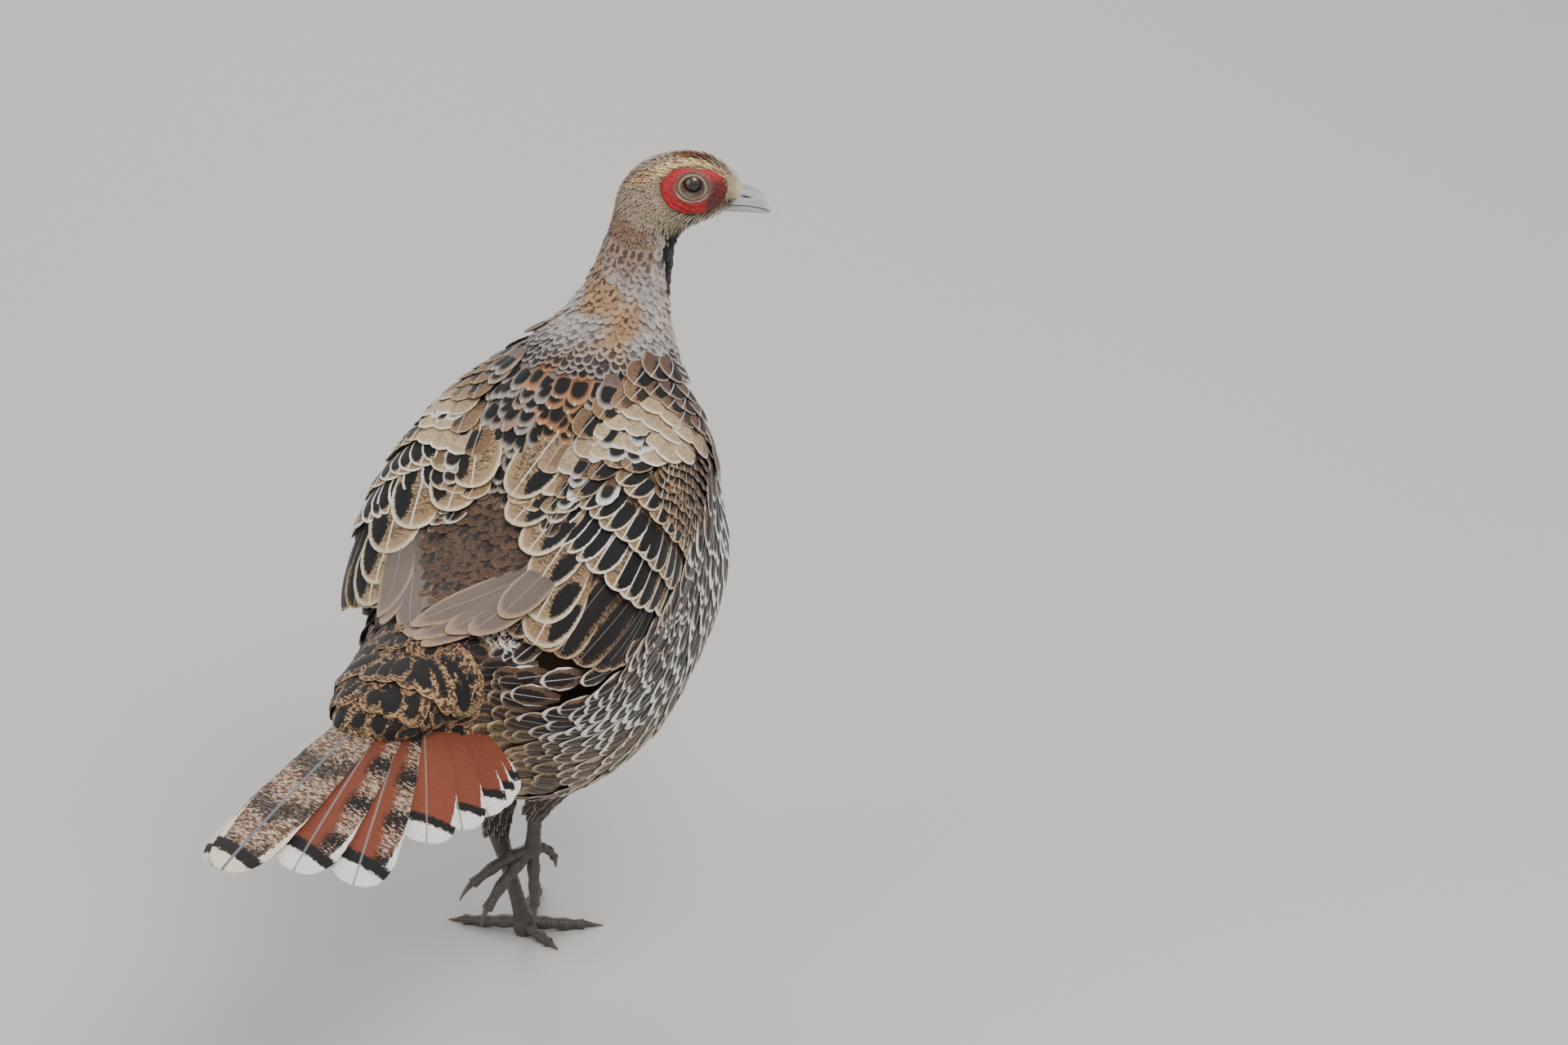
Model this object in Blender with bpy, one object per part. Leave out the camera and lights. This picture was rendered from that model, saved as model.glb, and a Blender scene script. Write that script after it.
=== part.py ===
"""Life-size hen pheasant of Chinese hill forest, standing on its left foot and looking to its right.

Metres, +Z up. The bird faces -Y and its left is +X. The origin is on the floor, under the sole of
the standing foot. Sizes below are in millimetres; points are given as forward, left and up.
"""
import math
import random

import bmesh
import bpy
import numpy as np

MM = 0.001
GAP = 0.3
SEED = 7

# The trunk leans to the bird's left and stands a little to the right of the foot that carries it
ROLL = 3.0
MID_X = -13.0
HIP = 190.0

# Ellipsoids of the trunk: centre, half sizes along its own length, width and height, pitch
TORSO = ((6, -3, 177), (92, 63, 69), 36)
BREAST = ((50, -1, 209), (59, 57, 77), 34)
RUMP = ((-62, 0, 190), (56, 40, 34), 20)
SHOULDER = ((50, -1, 263), (46, 44, 40), 60)
TAIL_ROOT = ((-112, 2, 194), (42, 27, 14), 10)
BLEND_BREAST, BLEND_RUMP, BLEND_SHOULDER, BLEND_NECK, BLEND_TAIL = 26, 40, 30, 34, 22
NECK_BASE = (68, -5, 290)
NECK_RADII = (21, 15.5)

# Folded wing: the bulge it gives the flank, and the frame that its feathers are laid in
WING_CENTRE = (-8, 46, 219)
WING_HALF = (79, 22, 49)
WING_PITCH, WING_YAW, WING_ROLL = 36, 4, 16
WING_BLEND = 14
WING_CORE = (15, 4, 60, 39)
WING_BED = (8.0, 5.0)
WING_SUNK = 3.2
WING_PROUD = 2.2

# Head: centre, turn to the right, pitch, and the ellipsoids of skull, cheek and face
HEAD = (101, -35, 374.0)
HEAD_YAW, HEAD_PITCH = 59.0, -5.0
SKULL_HALF = (24, 13.5, 15.2)
CHEEK = ((-5, 0, -8), (20, 13.5, 13.0))
FACE = ((8, 0, -2.0), (24, 0, -3.5), (11.5, 7.0))
BLEND_HEAD = 14

# Eyes, and the bare skin round them with its lid
EYE = (3.0, 8.4, 3.9)
EYE_RADIUS = 6.1
PATCH_CENTRE = (3.8, 0.5)
PATCH_HALF = (15.2, 10.4)
PATCH_THICK = 1.5
PATCH_BED_SPARE = 0.7
LID_HOLE = (5.6, 4.8)
LID_HEIGHT = 1.1

# Bill: distance ahead of the head's centre, top line, cutting edge, bottom line, half widths
BILL_UPPER = (
    (18.0, 1.5, -7.2, 6.4), (24.0, 1.5, -7.2, 5.8), (30.0, 0.6, -7.6, 4.6),
    (35.5, -1.8, -8.6, 3.5), (40.0, -5.2, -10.0, 2.4), (43.2, -9.0, -12.6, 1.3), (44.6, -12.6, -14.2, 0.45),
)
BILL_LOWER = (
    (16.5, -8.0, -12.6, 6.0), (22.0, -7.8, -12.8, 5.4), (28.0, -8.0, -12.9, 4.4),
    (34.0, -8.9, -12.8, 3.2), (38.5, -10.2, -12.7, 1.9), (41.0, -11.2, -12.5, 0.6),
)
NOSTRIL = (28.5, 4.4, -2.6)
NOSTRIL_HALF = (2.6, 1.5, 0.9)

# Legs: hip and ankle of each thigh, ankle and foot of each tarsus
THIGH_L = ((4, 25, 130), 21.0, (-15, 4.6, 66), 6.4)
THIGH_R = ((2, -27, 130), 20.0, (-8, -14.4, 79), 6.0)
TARSUS_L = ((-15, 4.6, 66), (0, 0, 10.5))
TARSUS_R = ((-8, -14.4, 79), (-8, -12, 57))
TARSUS_RADII = (5.6, 4.6, 3.7, 3.6, 3.8, 4.6)

# Tail: root of the fan and end of its ridge, forward, left and up
TAIL_BASE = (-92, 2, 200)
TAIL_TIP = (-257, -9, 169)
# Each tail feather from the middle outward: length, degrees from the ridge, slope of the fan there,
# roll of the feather itself, width. The right half is spread and the left half folded under it.
RECTRICES = {
    -1: ((168, 1, 4, 4, 31), (151, 10.7, 12, 17, 31), (144, 21, 18, 23, 31), (107, 35, 22, 27, 30),
         (95, 46, 25, 30, 29), (86, 57, 28, 32, 28), (82, 64, 30, 34, 27), (78, 70, 31, 35, 26)),
    1: ((165, 2, 16, 8, 30), (148, 9, 42, 38, 24), (139, 13, 48, 46, 22), (106, 18, 51, 50, 22),
        (96, 22, 52, 51, 22), (88, 26, 52, 52, 22), (82, 30, 52, 52, 22), (78, 34, 52, 52, 22)),
}
RECTRIX_STEP = 1.5


def smooth_min(a, b, k):
    """The lower of two fields, rounded where they meet over k millimetres."""
    k = k * MM
    h = np.clip(0.5 + 0.5 * (b - a) / k, 0.0, 1.0)
    return b + (a - b) * h - k * h * (1.0 - h)


def world(forward, left, up):
    """A point from millimetres forward, left and up."""
    return np.array([left, -forward, up]) * MM


def body(forward, left, up):
    """A point of the trunk, which is rolled to its left about the hips."""
    r = math.radians(ROLL)
    x = MID_X + left * math.cos(r) + (up - HIP) * math.sin(r)
    z = HIP + (up - HIP) * math.cos(r) - left * math.sin(r)
    return np.array([x, -forward, z]) * MM


def axes(yaw, pitch, roll=0.0):
    """Forward, left and up of a turned piece as columns; yaw turns right and roll lowers the left."""
    y, p, r = (math.radians(v) for v in (yaw, pitch, roll))
    forward = np.array([-math.sin(y) * math.cos(p), -math.cos(y) * math.cos(p), math.sin(p)])
    left = np.array([math.cos(y), -math.sin(y), 0.0])
    up = -np.cross(forward, left)
    up = up if up[2] > 0 else -up
    columns = (forward, left * math.cos(r) - up * math.sin(r), up * math.cos(r) + left * math.sin(r))
    return np.stack(columns, axis=1)


def unit(v):
    """Vectors scaled to length one."""
    v = np.asarray(v, float)
    return v / np.maximum(np.linalg.norm(v, axis=-1, keepdims=True), 1e-12)


def ellipsoid(p, centre, half, turn):
    """Distance field of an ellipsoid, near enough to metres close to its surface."""
    q = (p - centre) @ turn
    r = np.asarray(half) * MM
    k0 = np.linalg.norm(q / r, axis=-1)
    k1 = np.linalg.norm(q / (r * r), axis=-1)
    return k0 * (k0 - 1.0) / np.maximum(k1, 1e-9)


def round_cone(p, a, b, radius_a, radius_b):
    """Distance field of a tapered rod with round ends."""
    ab = b - a
    h = np.clip(((p - a) @ ab) / (ab @ ab), 0.0, 1.0)
    h = h * (0.65 + 0.35 * h * (3.0 - 2.0 * h))
    return np.linalg.norm(p - a - h[..., None] * ab, axis=-1) - (radius_a + (radius_b - radius_a) * h) * MM


HEAD_AT = world(*HEAD)
HEAD_AXES = axes(HEAD_YAW, HEAD_PITCH)


def head_point(forward, left, up):
    """A point from millimetres along the head's own axes."""
    return HEAD_AT + HEAD_AXES @ np.array([forward, left, up]) * MM


def trunk_field(p):
    """Torso, breast, rump, shoulders, neck and tail root run into one another."""
    torso = ellipsoid(p, body(*TORSO[0]), TORSO[1], axes(0, TORSO[2], ROLL))
    breast = ellipsoid(p, body(*BREAST[0]), BREAST[1], axes(0, BREAST[2], ROLL))
    rump = ellipsoid(p, body(*RUMP[0]), RUMP[1], axes(0, RUMP[2], ROLL))
    shoulder = ellipsoid(p, body(*SHOULDER[0]), SHOULDER[1], axes(0, SHOULDER[2], ROLL))
    root = ellipsoid(p, body(*TAIL_ROOT[0]), TAIL_ROOT[1], axes(0, TAIL_ROOT[2], ROLL))
    throat = HEAD_AT + axes(HEAD_YAW, 0) @ np.array([-18, 0, -14]) * MM
    neck = round_cone(p, body(*NECK_BASE), throat, *NECK_RADII)
    f = smooth_min(torso, breast, BLEND_BREAST)
    f = smooth_min(f, rump, BLEND_RUMP)
    f = smooth_min(f, shoulder, BLEND_SHOULDER)
    f = smooth_min(f, neck, BLEND_NECK)
    return smooth_min(f, root, BLEND_TAIL)


def head_field(p):
    """Skull, cheeks and the narrowing face."""
    skull = ellipsoid(p, HEAD_AT, SKULL_HALF, HEAD_AXES)
    cheek = ellipsoid(p, head_point(*CHEEK[0]), CHEEK[1], HEAD_AXES)
    face = round_cone(p, head_point(*FACE[0]), head_point(*FACE[1]), *FACE[2])
    return smooth_min(smooth_min(skull, cheek, 8), face, 10)


def bird_field(p):
    """Trunk and head in one."""
    return smooth_min(trunk_field(p), head_field(p), BLEND_HEAD)


def wing_frame(side):
    """Centre and axes of a folded wing; side is 1 on the left and -1 on the right."""
    forward, left, up = WING_CENTRE
    centre = body(forward, left * side, up)
    return centre, axes(WING_YAW * side, WING_PITCH, ROLL + WING_ROLL * side)


def winged_field(p):
    """Trunk with the bulge of both folded wings."""
    f = trunk_field(p)
    for side in (1, -1):
        centre, turn = wing_frame(side)
        f = smooth_min(f, ellipsoid(p, centre, WING_HALF, turn), WING_BLEND)
    return f


def cast(field, origins, directions, reach, steps=72):
    """Distance along each ray to where it first leaves the field's inside."""
    t = np.linspace(0.0, reach * MM, steps)
    outside = field(origins[:, None] + directions[:, None] * t[None, :, None]) >= 0
    first = np.maximum(np.argmax(outside, axis=1), 1)
    low, high = t[first - 1], t[first]
    for _ in range(22):
        middle = (low + high) / 2
        out = field(origins + directions * middle[:, None]) >= 0
        high = np.where(out, middle, high)
        low = np.where(out, low, middle)
    return (low + high) / 2


def gradient(field, p):
    """Outward direction of a field at each point."""
    step = 4e-4
    return unit(np.stack([field(p + e) - field(p - e) for e in np.eye(3) * step], axis=-1))


def settle(field, p, level, rounds=6):
    """Points moved along the gradient until the field there is the given level in millimetres."""
    for _ in range(rounds):
        p = p - gradient(field, p) * (field(p) - np.asarray(level) * MM)[:, None]
    return p


def spline(points, count):
    """Catmull-Rom curve through rows of numbers, sampled evenly in its parameter."""
    rows = np.asarray(points, float)
    rows = np.vstack([2 * rows[0] - rows[1], rows, 2 * rows[-1] - rows[-2]])
    u = np.linspace(0, len(rows) - 3 - 1e-9, count)
    i = u.astype(int)
    t = (u - i)[:, None]
    a, b, c, d = rows[i], rows[i + 1], rows[i + 2], rows[i + 3]
    square = 2 * a - 5 * b + 4 * c - d
    cube = 3 * b - a - 3 * c + d
    return 0.5 * (2 * b + (c - a) * t + square * t ** 2 + cube * t ** 3)


def new_object(name, mesh):
    """An object for the mesh, linked to the scene."""
    thing = bpy.data.objects.new(name, mesh)
    bpy.context.scene.collection.objects.link(thing)
    return thing


def mesh_from(name, vertices, faces):
    """A closed mesh with its faces turned outward."""
    mesh = bpy.data.meshes.new(name)
    mesh.from_pydata([tuple(v) for v in vertices], [], faces)
    work = bmesh.new()
    work.from_mesh(mesh)
    bmesh.ops.recalc_face_normals(work, faces=work.faces)
    if work.calc_volume(signed=True) < 0:
        bmesh.ops.reverse_faces(work, faces=work.faces)
    work.to_mesh(mesh)
    work.free()
    return mesh


def rings_mesh(name, rings, start_pole=None, end_pole=None):
    """Rings of points joined in order, each end closed by a flat cap or drawn to a pole."""
    count, around = len(rings), len(rings[0])
    vertices = [p for ring in rings for p in ring]
    faces = []
    for i in range(count - 1):
        for j in range(around):
            k = (j + 1) % around
            a, b, c, d = i * around + j, i * around + k, (i + 1) * around + k, (i + 1) * around + j
            faces.extend(((a, b, c), (a, c, d)))
    for pole, ring in ((start_pole, 0), (end_pole, count - 1)):
        edge = [ring * around + j for j in range(around)]
        if pole is None:
            faces.append(tuple(edge))
        else:
            vertices.append(pole)
            top = len(vertices) - 1
            faces.extend((edge[j], edge[(j + 1) % around], top) for j in range(around))
    return mesh_from(name, vertices, faces)


def circle_directions(frame, around):
    """Directions round the first axis of a frame, from left through up."""
    a = np.arange(around) * 2 * math.pi / around
    return np.outer(np.cos(a), frame[:, 1]) + np.outer(np.sin(a), frame[:, 2])


def section(field, centre, frame, around, reach):
    """One ring: the field's outline in the plane across the frame's first axis."""
    directions = circle_directions(frame, around)
    origins = np.repeat(centre[None], around, axis=0)
    return origins + directions * cast(field, origins, directions, reach)[:, None]


def tube_mesh(name, path, radii, around, floor=False):
    """A tapered tube of round sections along a path; with floor its underside is flat at zero height."""
    path = np.asarray(path, float)
    tangents = unit(np.gradient(path, axis=0))
    side = unit(np.cross(tangents, np.array([0.0, 0.0, 1.0])))
    if np.abs(tangents[:, 2]).max() > 0.93:
        side = unit(np.cross(tangents, np.array([0.0, 1.0, 0.0])))
    rise = unit(np.cross(side, tangents))
    a = (np.arange(around) + 0.5) * 2 * math.pi / around
    rings = []
    for c, s, u, r in zip(path, side, rise, radii):
        ring = c + (np.outer(np.cos(a), s) + np.outer(np.sin(a), u)) * r * MM
        if floor:
            ring[:, 2] = np.maximum(ring[:, 2], 0.0)
        rings.append(ring)
    return rings_mesh(name, rings)


def ball_mesh(name, centre, half, turn, segments=20, rings=12):
    """An ellipsoid of latitude rings."""
    half = np.asarray(half) * MM
    polar = np.linspace(0, math.pi, rings + 1)[1:-1]
    a = np.arange(segments) * 2 * math.pi / segments
    loops = []
    for angle in polar:
        local = np.stack([np.full(segments, math.cos(angle)), np.cos(a) * math.sin(angle),
                          np.sin(a) * math.sin(angle)], axis=1)
        loops.append(centre + (local * half) @ turn.T)
    first = centre + turn[:, 0] * half[0]
    return rings_mesh(name, loops, first, centre - turn[:, 0] * half[0])


def evaluated_copy(thing, name):
    """The mesh of an object with its modifiers applied."""
    graph = bpy.context.evaluated_depsgraph_get()
    mesh = bpy.data.meshes.new_from_object(thing.evaluated_get(graph))
    mesh.name = name
    return mesh


def drop(things):
    """Objects removed from the file."""
    for thing in things:
        bpy.data.objects.remove(thing, do_unlink=True)


def keep_largest(mesh):
    """Only the largest closed surface of a mesh stays."""
    work = bmesh.new()
    work.from_mesh(mesh)
    left = set(work.faces)
    shells = []
    while left:
        seed = left.pop()
        shell, stack = [seed], [seed]
        while stack:
            for edge in stack.pop().edges:
                for face in edge.link_faces:
                    if face in left:
                        left.remove(face)
                        shell.append(face)
                        stack.append(face)
        shells.append(shell)
    shells.sort(key=lambda faces: sum(f.calc_area() for f in faces), reverse=True)
    scraps = [face for shell in shells[1:] for face in shell]
    bmesh.ops.delete(work, geom=scraps, context='FACES')
    bmesh.ops.delete(work, geom=[v for v in work.verts if not v.link_faces], context='VERTS')
    bmesh.ops.triangulate(work, faces=work.faces)
    work.to_mesh(mesh)
    work.free()
    return mesh


def combine(name, base, pieces, operation, solver='MANIFOLD'):
    """One Boolean of a base mesh with a collection of closed meshes, applied."""
    thing = new_object(name + '_work', base)
    group = bpy.data.collections.new(name + '_pieces')
    bpy.context.scene.collection.children.link(group)
    others = []
    for i, piece in enumerate(pieces):
        other = bpy.data.objects.new(f'{name}_piece_{i}', piece)
        group.objects.link(other)
        others.append(other)
    modifier = thing.modifiers.new('join', 'BOOLEAN')
    modifier.operation = operation
    modifier.solver = solver
    modifier.operand_type = 'COLLECTION'
    modifier.collection = group
    mesh = evaluated_copy(thing, name)
    drop([thing] + others)
    bpy.data.collections.remove(group)
    return keep_largest(mesh)


def joined(name, base, pieces):
    """Pieces fused to a base."""
    return combine(name, base, pieces, 'UNION')


def cut(name, base, pieces):
    """Pieces taken out of a base."""
    return combine(name, base, pieces, 'DIFFERENCE')


def material(name, colour, roughness, metallic=0.0):
    """A plain Principled surface."""
    m = bpy.data.materials.new(name)
    m.use_nodes = True
    shader = m.node_tree.nodes['Principled BSDF']
    shader.inputs['Base Color'].default_value = (*colour, 1.0)
    shader.inputs['Roughness'].default_value = roughness
    shader.inputs['Metallic'].default_value = metallic
    m.diffuse_color = (*colour, 1.0)
    return m


def finish(name, mesh, surface):
    """The named node itself, with its surface and smooth shading."""
    thing = new_object(name, mesh)
    thing.data.name = name
    thing.data.materials.clear()
    thing.data.materials.append(surface)
    mesh.shade_smooth()
    mesh.set_sharp_from_angle(angle=math.radians(38))
    return thing


# Planes across the trunk and neck: forward, left, up of the centre, pitch, yaw
TRUNK_STATIONS = (
    (-92, 1, 198, 14, 0), (-60, 0, 190, 22, 0), (-25, 0, 188, 32, 0), (12, 0, 203, 44, 0),
    (38, 0, 230, 54, 0), (55, -1, 260, 63, 0), (66, -4, 290, 71, 0),
)
NECK_STATIONS = (
    (66, -4, 290, 71, 0), (76, -10, 312, 75, 12), (84, -16, 332, 79, 30), (90, -23, 350, 83, 48),
)
TAIL_STATIONS = ((-92, 1, 198, 14, 0), (-118, 2, 192, 11, 0), (-146, 2, 186, 10, 0))


def stations(rows, count):
    """Centres and frames of planes along a curve through the rows."""
    out = []
    for forward, left, up, pitch, yaw in spline(rows, count):
        out.append((body(forward, left, up), axes(yaw, pitch, ROLL)))
    return out


def trunk_mesh(name, grow=0.0):
    """The torso, from the tail's root to the base of the neck; grow fattens it for a clearance cut."""
    def field(p):
        return trunk_field(p) - grow * MM
    places = stations(TRUNK_STATIONS, 17)
    rings = [section(field, centre, frame, 26, 120) for centre, frame in places]
    if grow:
        rings[0] = rings[0] - places[0][1][:, 0] * grow * MM
        rings[-1] = rings[-1] + places[-1][1][:, 0] * grow * MM
    return rings_mesh(name, rings)


def neck_mesh(name):
    """The neck, turning to the right as it rises."""
    places = stations(NECK_STATIONS, 9)
    shift = GAP * MM
    rings = []
    for i, (centre, frame) in enumerate(places):
        if i == 0:
            centre = centre + frame[:, 0] * shift
        rings.append(section(bird_field, centre, frame, 24, 70))
    return rings_mesh(name, rings)


HEAD_SLICES = 11


def head_mesh(name):
    """The head as slices from the top of the neck to the crown."""
    centre, frame = stations(NECK_STATIONS, 9)[-1]
    start = centre + frame[:, 0] * GAP * MM
    rings = [section(bird_field, start, frame, 24, 60)]
    local = (start - HEAD_AT) @ HEAD_AXES / MM
    top = SKULL_HALF[2] - 0.5
    level = frame[:, 0]
    for i in range(1, HEAD_SLICES):
        u = i / (HEAD_SLICES - 1)
        height = local[2] + (top - local[2]) * math.sin(u * math.pi / 2) ** 1.1
        ahead = local[0] + (3.0 - local[0]) * min(1.0, u * 1.8)
        aside = local[1] * max(0.0, 1 - u * 1.6)
        mix = min(1.0, u * 2.0)
        normal = unit(level * (1 - mix) + HEAD_AXES[:, 2] * mix)
        left = unit(HEAD_AXES[:, 1] - normal * (HEAD_AXES[:, 1] @ normal))
        turn = np.stack([normal, left, np.cross(normal, left)], axis=1)
        if turn[:, 2] @ HEAD_AXES[:, 0] > 0:
            turn[:, 2] = -turn[:, 2]
        rings.append(section(bird_field, head_point(ahead, aside, height), turn, 24, 60))
    crown = head_point(3.0, 0, SKULL_HALF[2] + 0.35)
    return rings_mesh(name, rings, None, crown)


def eye_mesh(name, side, grow=0.0):
    """An eyeball; side is 1 on the left."""
    forward, left, up = EYE
    radius = EYE_RADIUS + grow
    turn = HEAD_AXES[:, [1, 2, 0]] * np.array([1, 1, 1])
    return ball_mesh(name, head_point(forward, left * side, up), (radius, radius, radius), turn, 16, 9)


def patch_mesh(name, side, grow=0.0):
    """The bare skin round an eye: a ring laid into the head, with the lid raised round its hole.

    With grow it is the solid plug that makes room for that ring.
    """
    around = 24
    out = HEAD_AXES[:, 1] * side
    eye = np.array([EYE[0], EYE[2]])
    ball = head_point(EYE[0], EYE[1] * side, EYE[2])
    middle = np.array(PATCH_CENTRE)
    a = np.arange(around) * 2 * math.pi / around
    shape = np.stack([np.cos(a), np.sin(a)], axis=1)
    power = np.sum(np.abs(shape) ** 2.3, axis=1) ** (-1 / 2.3)
    rim = middle + shape * power[:, None] * (np.array(PATCH_HALF) + grow)

    def lay(points, level, clear):
        """Points of the head's own plane laid on its side at a level, and kept clear of the eyeball."""
        flat = np.outer(points[:, 0], HEAD_AXES[:, 0]) + np.outer(points[:, 1], HEAD_AXES[:, 2])
        origins = HEAD_AT + flat * MM + out * 30 * MM
        directions = np.repeat(-out[None], len(points), axis=0)
        hit = cast(lambda q: min(level, 0.0) * MM - head_field(q), origins, directions, 40)
        laid = origins + directions * (hit - max(level, 0.0) * MM)[:, None]
        away = laid - ball
        reach = np.linalg.norm(away, axis=1, keepdims=True)
        return ball + away * np.maximum(1.0, (EYE_RADIUS + clear) * MM / reach)

    if grow:
        deep = -PATCH_THICK - grow - PATCH_BED_SPARE
        rings = [lay(middle + (rim - middle) * k, 4.0, -9.0) for k in (0.5, 1.0)]
        rings += [lay(middle + (rim - middle) * k, deep, -9.0) for k in (1.0, 0.66, 0.33)]
        top, bottom = (lay(middle[None], level, -9.0)[0] for level in (4.0, deep))
        return rings_mesh(name, rings, top, bottom)
    half_way = rim * 0.5 + (eye + shape * 7.2) * 0.5
    loops = [lay(rim, -0.1, 0.7), lay(half_way, 0.1, 0.8), lay(eye + shape * 6.9, 0.3, 1.0)]
    loops.append(lay(eye + shape * LID_HOLE[0], LID_HEIGHT, 1.3))
    loops.append(lay(eye + shape * LID_HOLE[1], 0.0, GAP + 0.1))
    loops += [lay(eye + shape * 6.3, -PATCH_THICK, GAP + 0.1), lay(half_way, -PATCH_THICK, GAP + 0.1)]
    loops += [lay(rim, -PATCH_THICK, GAP + 0.1)]
    faces = []
    for i in range(len(loops)):
        n = (i + 1) % len(loops)
        for j in range(around):
            k = (j + 1) % around
            a, b, c, d = i * around + j, i * around + k, n * around + k, n * around + j
            faces.extend(((a, b, c), (a, c, d)))
    return mesh_from(name, [q for loop in loops for q in loop], faces)


def bill_mesh(name, rows, upper, grow=0.0, around=12):
    """One half of the bill: arched sections between its top line and its cutting edge."""
    rows = spline([(x, top, bottom, width) for x, top, bottom, width in rows], 10)
    if grow:
        rows = rows[:]
        rows[0, 0] -= grow
    rings = []
    half = around // 2
    for x, top, bottom, width in rows:
        top, bottom, width = top + grow, bottom - grow, width + grow
        a = np.linspace(0, math.pi, half)
        height = top - bottom
        arch = np.sin(a) ** 0.85 * height
        flat = np.linspace(-1, 1, around - half + 2)[1:-1] * width
        dip = -0.12 * height * (1 - (flat / width) ** 2)
        if upper:
            y = np.concatenate([np.cos(a) * width, flat])
            z = np.concatenate([bottom + arch, bottom - dip * (0 if grow else 1)])
        else:
            y = np.concatenate([np.cos(a) * width, flat])
            z = np.concatenate([top - arch, top + dip * (0 if grow else 1)])
        rings.append(np.array([head_point(x, left, up) for left, up in zip(y, z)]))
    return rings_mesh(name, rings)


def vane_mesh(name, grid, normals, thick):
    """A feather from rows of points across it, split into triangles alike on both faces."""
    steps, across = grid.shape[:2]
    half = (np.asarray(thick) / 2 * MM)[:, None, None]
    sheets = [(grid + normals * half).reshape(-1, 3), (grid - normals * half).reshape(-1, 3)]
    points = np.concatenate(sheets)
    low = steps * across
    faces = []
    for i in range(steps - 1):
        for j in range(across - 1):
            a = i * across + j
            for start in (a, a + low):
                faces.append((start, start + 1, start + across + 1))
                faces.append((start, start + across + 1, start + across))
    rim = [j for j in range(across)] + [i * across + across - 1 for i in range(1, steps)]
    rim += [(steps - 1) * across + j for j in range(across - 2, -1, -1)]
    rim += [i * across for i in range(steps - 2, 0, -1)]
    for a, b in zip(rim, rim[1:] + rim[:1]):
        faces.append((a, b, b + low))
        faces.append((a, b + low, a + low))
    return mesh_from(name, points, faces)


def vane_outline(steps, tip=0.42, root=0.4):
    """Where each step lies from root to tip, and its share of the full width."""
    if steps == 4:
        return np.array([0.0, 0.4, 0.84, 1.0]), np.array([root, 0.95, 0.92, tip])
    return np.array([0.0, 0.3, 0.62, 0.88, 1.0]), np.array([root, 0.82, 1.0, 0.9, tip])


def laid_vane(name, field, root, tip, width, lifts, tilt, steps=5, across=2, thick=(0.9, 0.6), clear=None):
    """A feather laid over a field from root to tip, lifted from it by lifts and tilted across by tilt.

    clear moves points of it that lie too near to something else.
    """
    u, share = vane_outline(steps)
    line = root[None] * (1 - u[:, None]) + tip[None] * u[:, None]
    lift = lifts[0] + (lifts[1] - lifts[0]) * u
    centres = settle(field, line, lift)
    tangents = unit(np.gradient(centres, axis=0))
    sides = unit(np.cross(tangents, gradient(field, centres)))
    columns = []
    slope = math.tan(math.radians(tilt))
    for v in np.linspace(-1, 1, across):
        aside = v * width / 2 * share
        points = settle(field, centres + sides * aside[:, None] * MM, lift + aside * slope)
        columns.append(points if clear is None else clear(points))
    grid = np.stack(columns, axis=1)
    across_way = unit(grid[:, -1] - grid[:, 0])
    normals = unit(np.cross(across_way, unit(np.gradient(grid.mean(axis=1), axis=0))))
    normals = np.repeat(normals[:, None], across, axis=1)
    return vane_mesh(name, grid, normals, thick[0] + (thick[1] - thick[0]) * u)


def table(points, count):
    """Rows read evenly along a hand-set line of rows."""
    rows = np.asarray(points, float)
    u = np.linspace(0, len(rows) - 1, count)
    return np.stack([np.interp(u, np.arange(len(rows)), rows[:, k]) for k in range(rows.shape[1])], axis=1)


# Feather tips in the wing's plane: along it towards the front, and up towards the back
SECONDARY_TIPS = ((-58, 27), (-51, 8), (-38, -10), (-18, -28), (4, -37))
SECONDARIES = 7
SECONDARY_LENGTH = (52, 44)
COVERT_TIPS = ((-25, 38), (-19, 20), (-5, -14), (12, -33))
COVERTS = 5
COVERT_LENGTH = (34, 24)
TERTIAL_TIPS = ((8, 27), (-14, 29), (-37, 31), (-60, 33))
TERTIAL_LENGTH = 42
# Tips of the long primaries: forward, out from the bird's middle, and up
PRIMARY_TIPS = ((-74, 27, 218), (-85, 20, 214), (-93, 13, 210), (-99, 5, 208), (-93, -8, 213))
PRIMARY_ROOTS = ((-8, 14, 12), (-14, 12, 18))
PRIMARIES = {1: 4, -1: 5}
VANE_CLEAR = 1.9
BED_USE = (0.5, 0.9)
CORE_AROUND = 24


def wing_point(side, along, aside, above):
    """A point from millimetres in a wing's frame, aside being away from the body."""
    centre, turn = wing_frame(side)
    return centre + turn @ np.array([along, aside * side, above]) * MM


def wing_skin(p):
    """Outside of the folded arm: just under the wing's bulge, a little proud of the trunk at its rim."""
    return smooth_min(winged_field(p) + WING_SUNK * MM, trunk_field(p) - WING_PROUD * MM, 2)


def wing_outline(side, share):
    """The arm's outline drawn in to a share of itself, wrapped onto its outside."""
    along, above, half_along, half_above = WING_CORE
    centre, turn = wing_frame(side)
    a = np.arange(CORE_AROUND) * 2 * math.pi / CORE_AROUND
    shape = np.stack([np.cos(a), np.sin(a)], axis=1)
    power = np.sum(np.abs(shape) ** 2.5, axis=1) ** (-1 / 2.5)
    flat = np.array([along, above]) + shape * power[:, None] * np.array([half_along, half_above]) * share
    plane = np.outer(flat[:, 0], turn[:, 0]) + np.outer(flat[:, 1], turn[:, 2]) + turn[:, 1] * side * 8
    return settle(wing_skin, centre + plane * MM, 0.0, 12)


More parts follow.
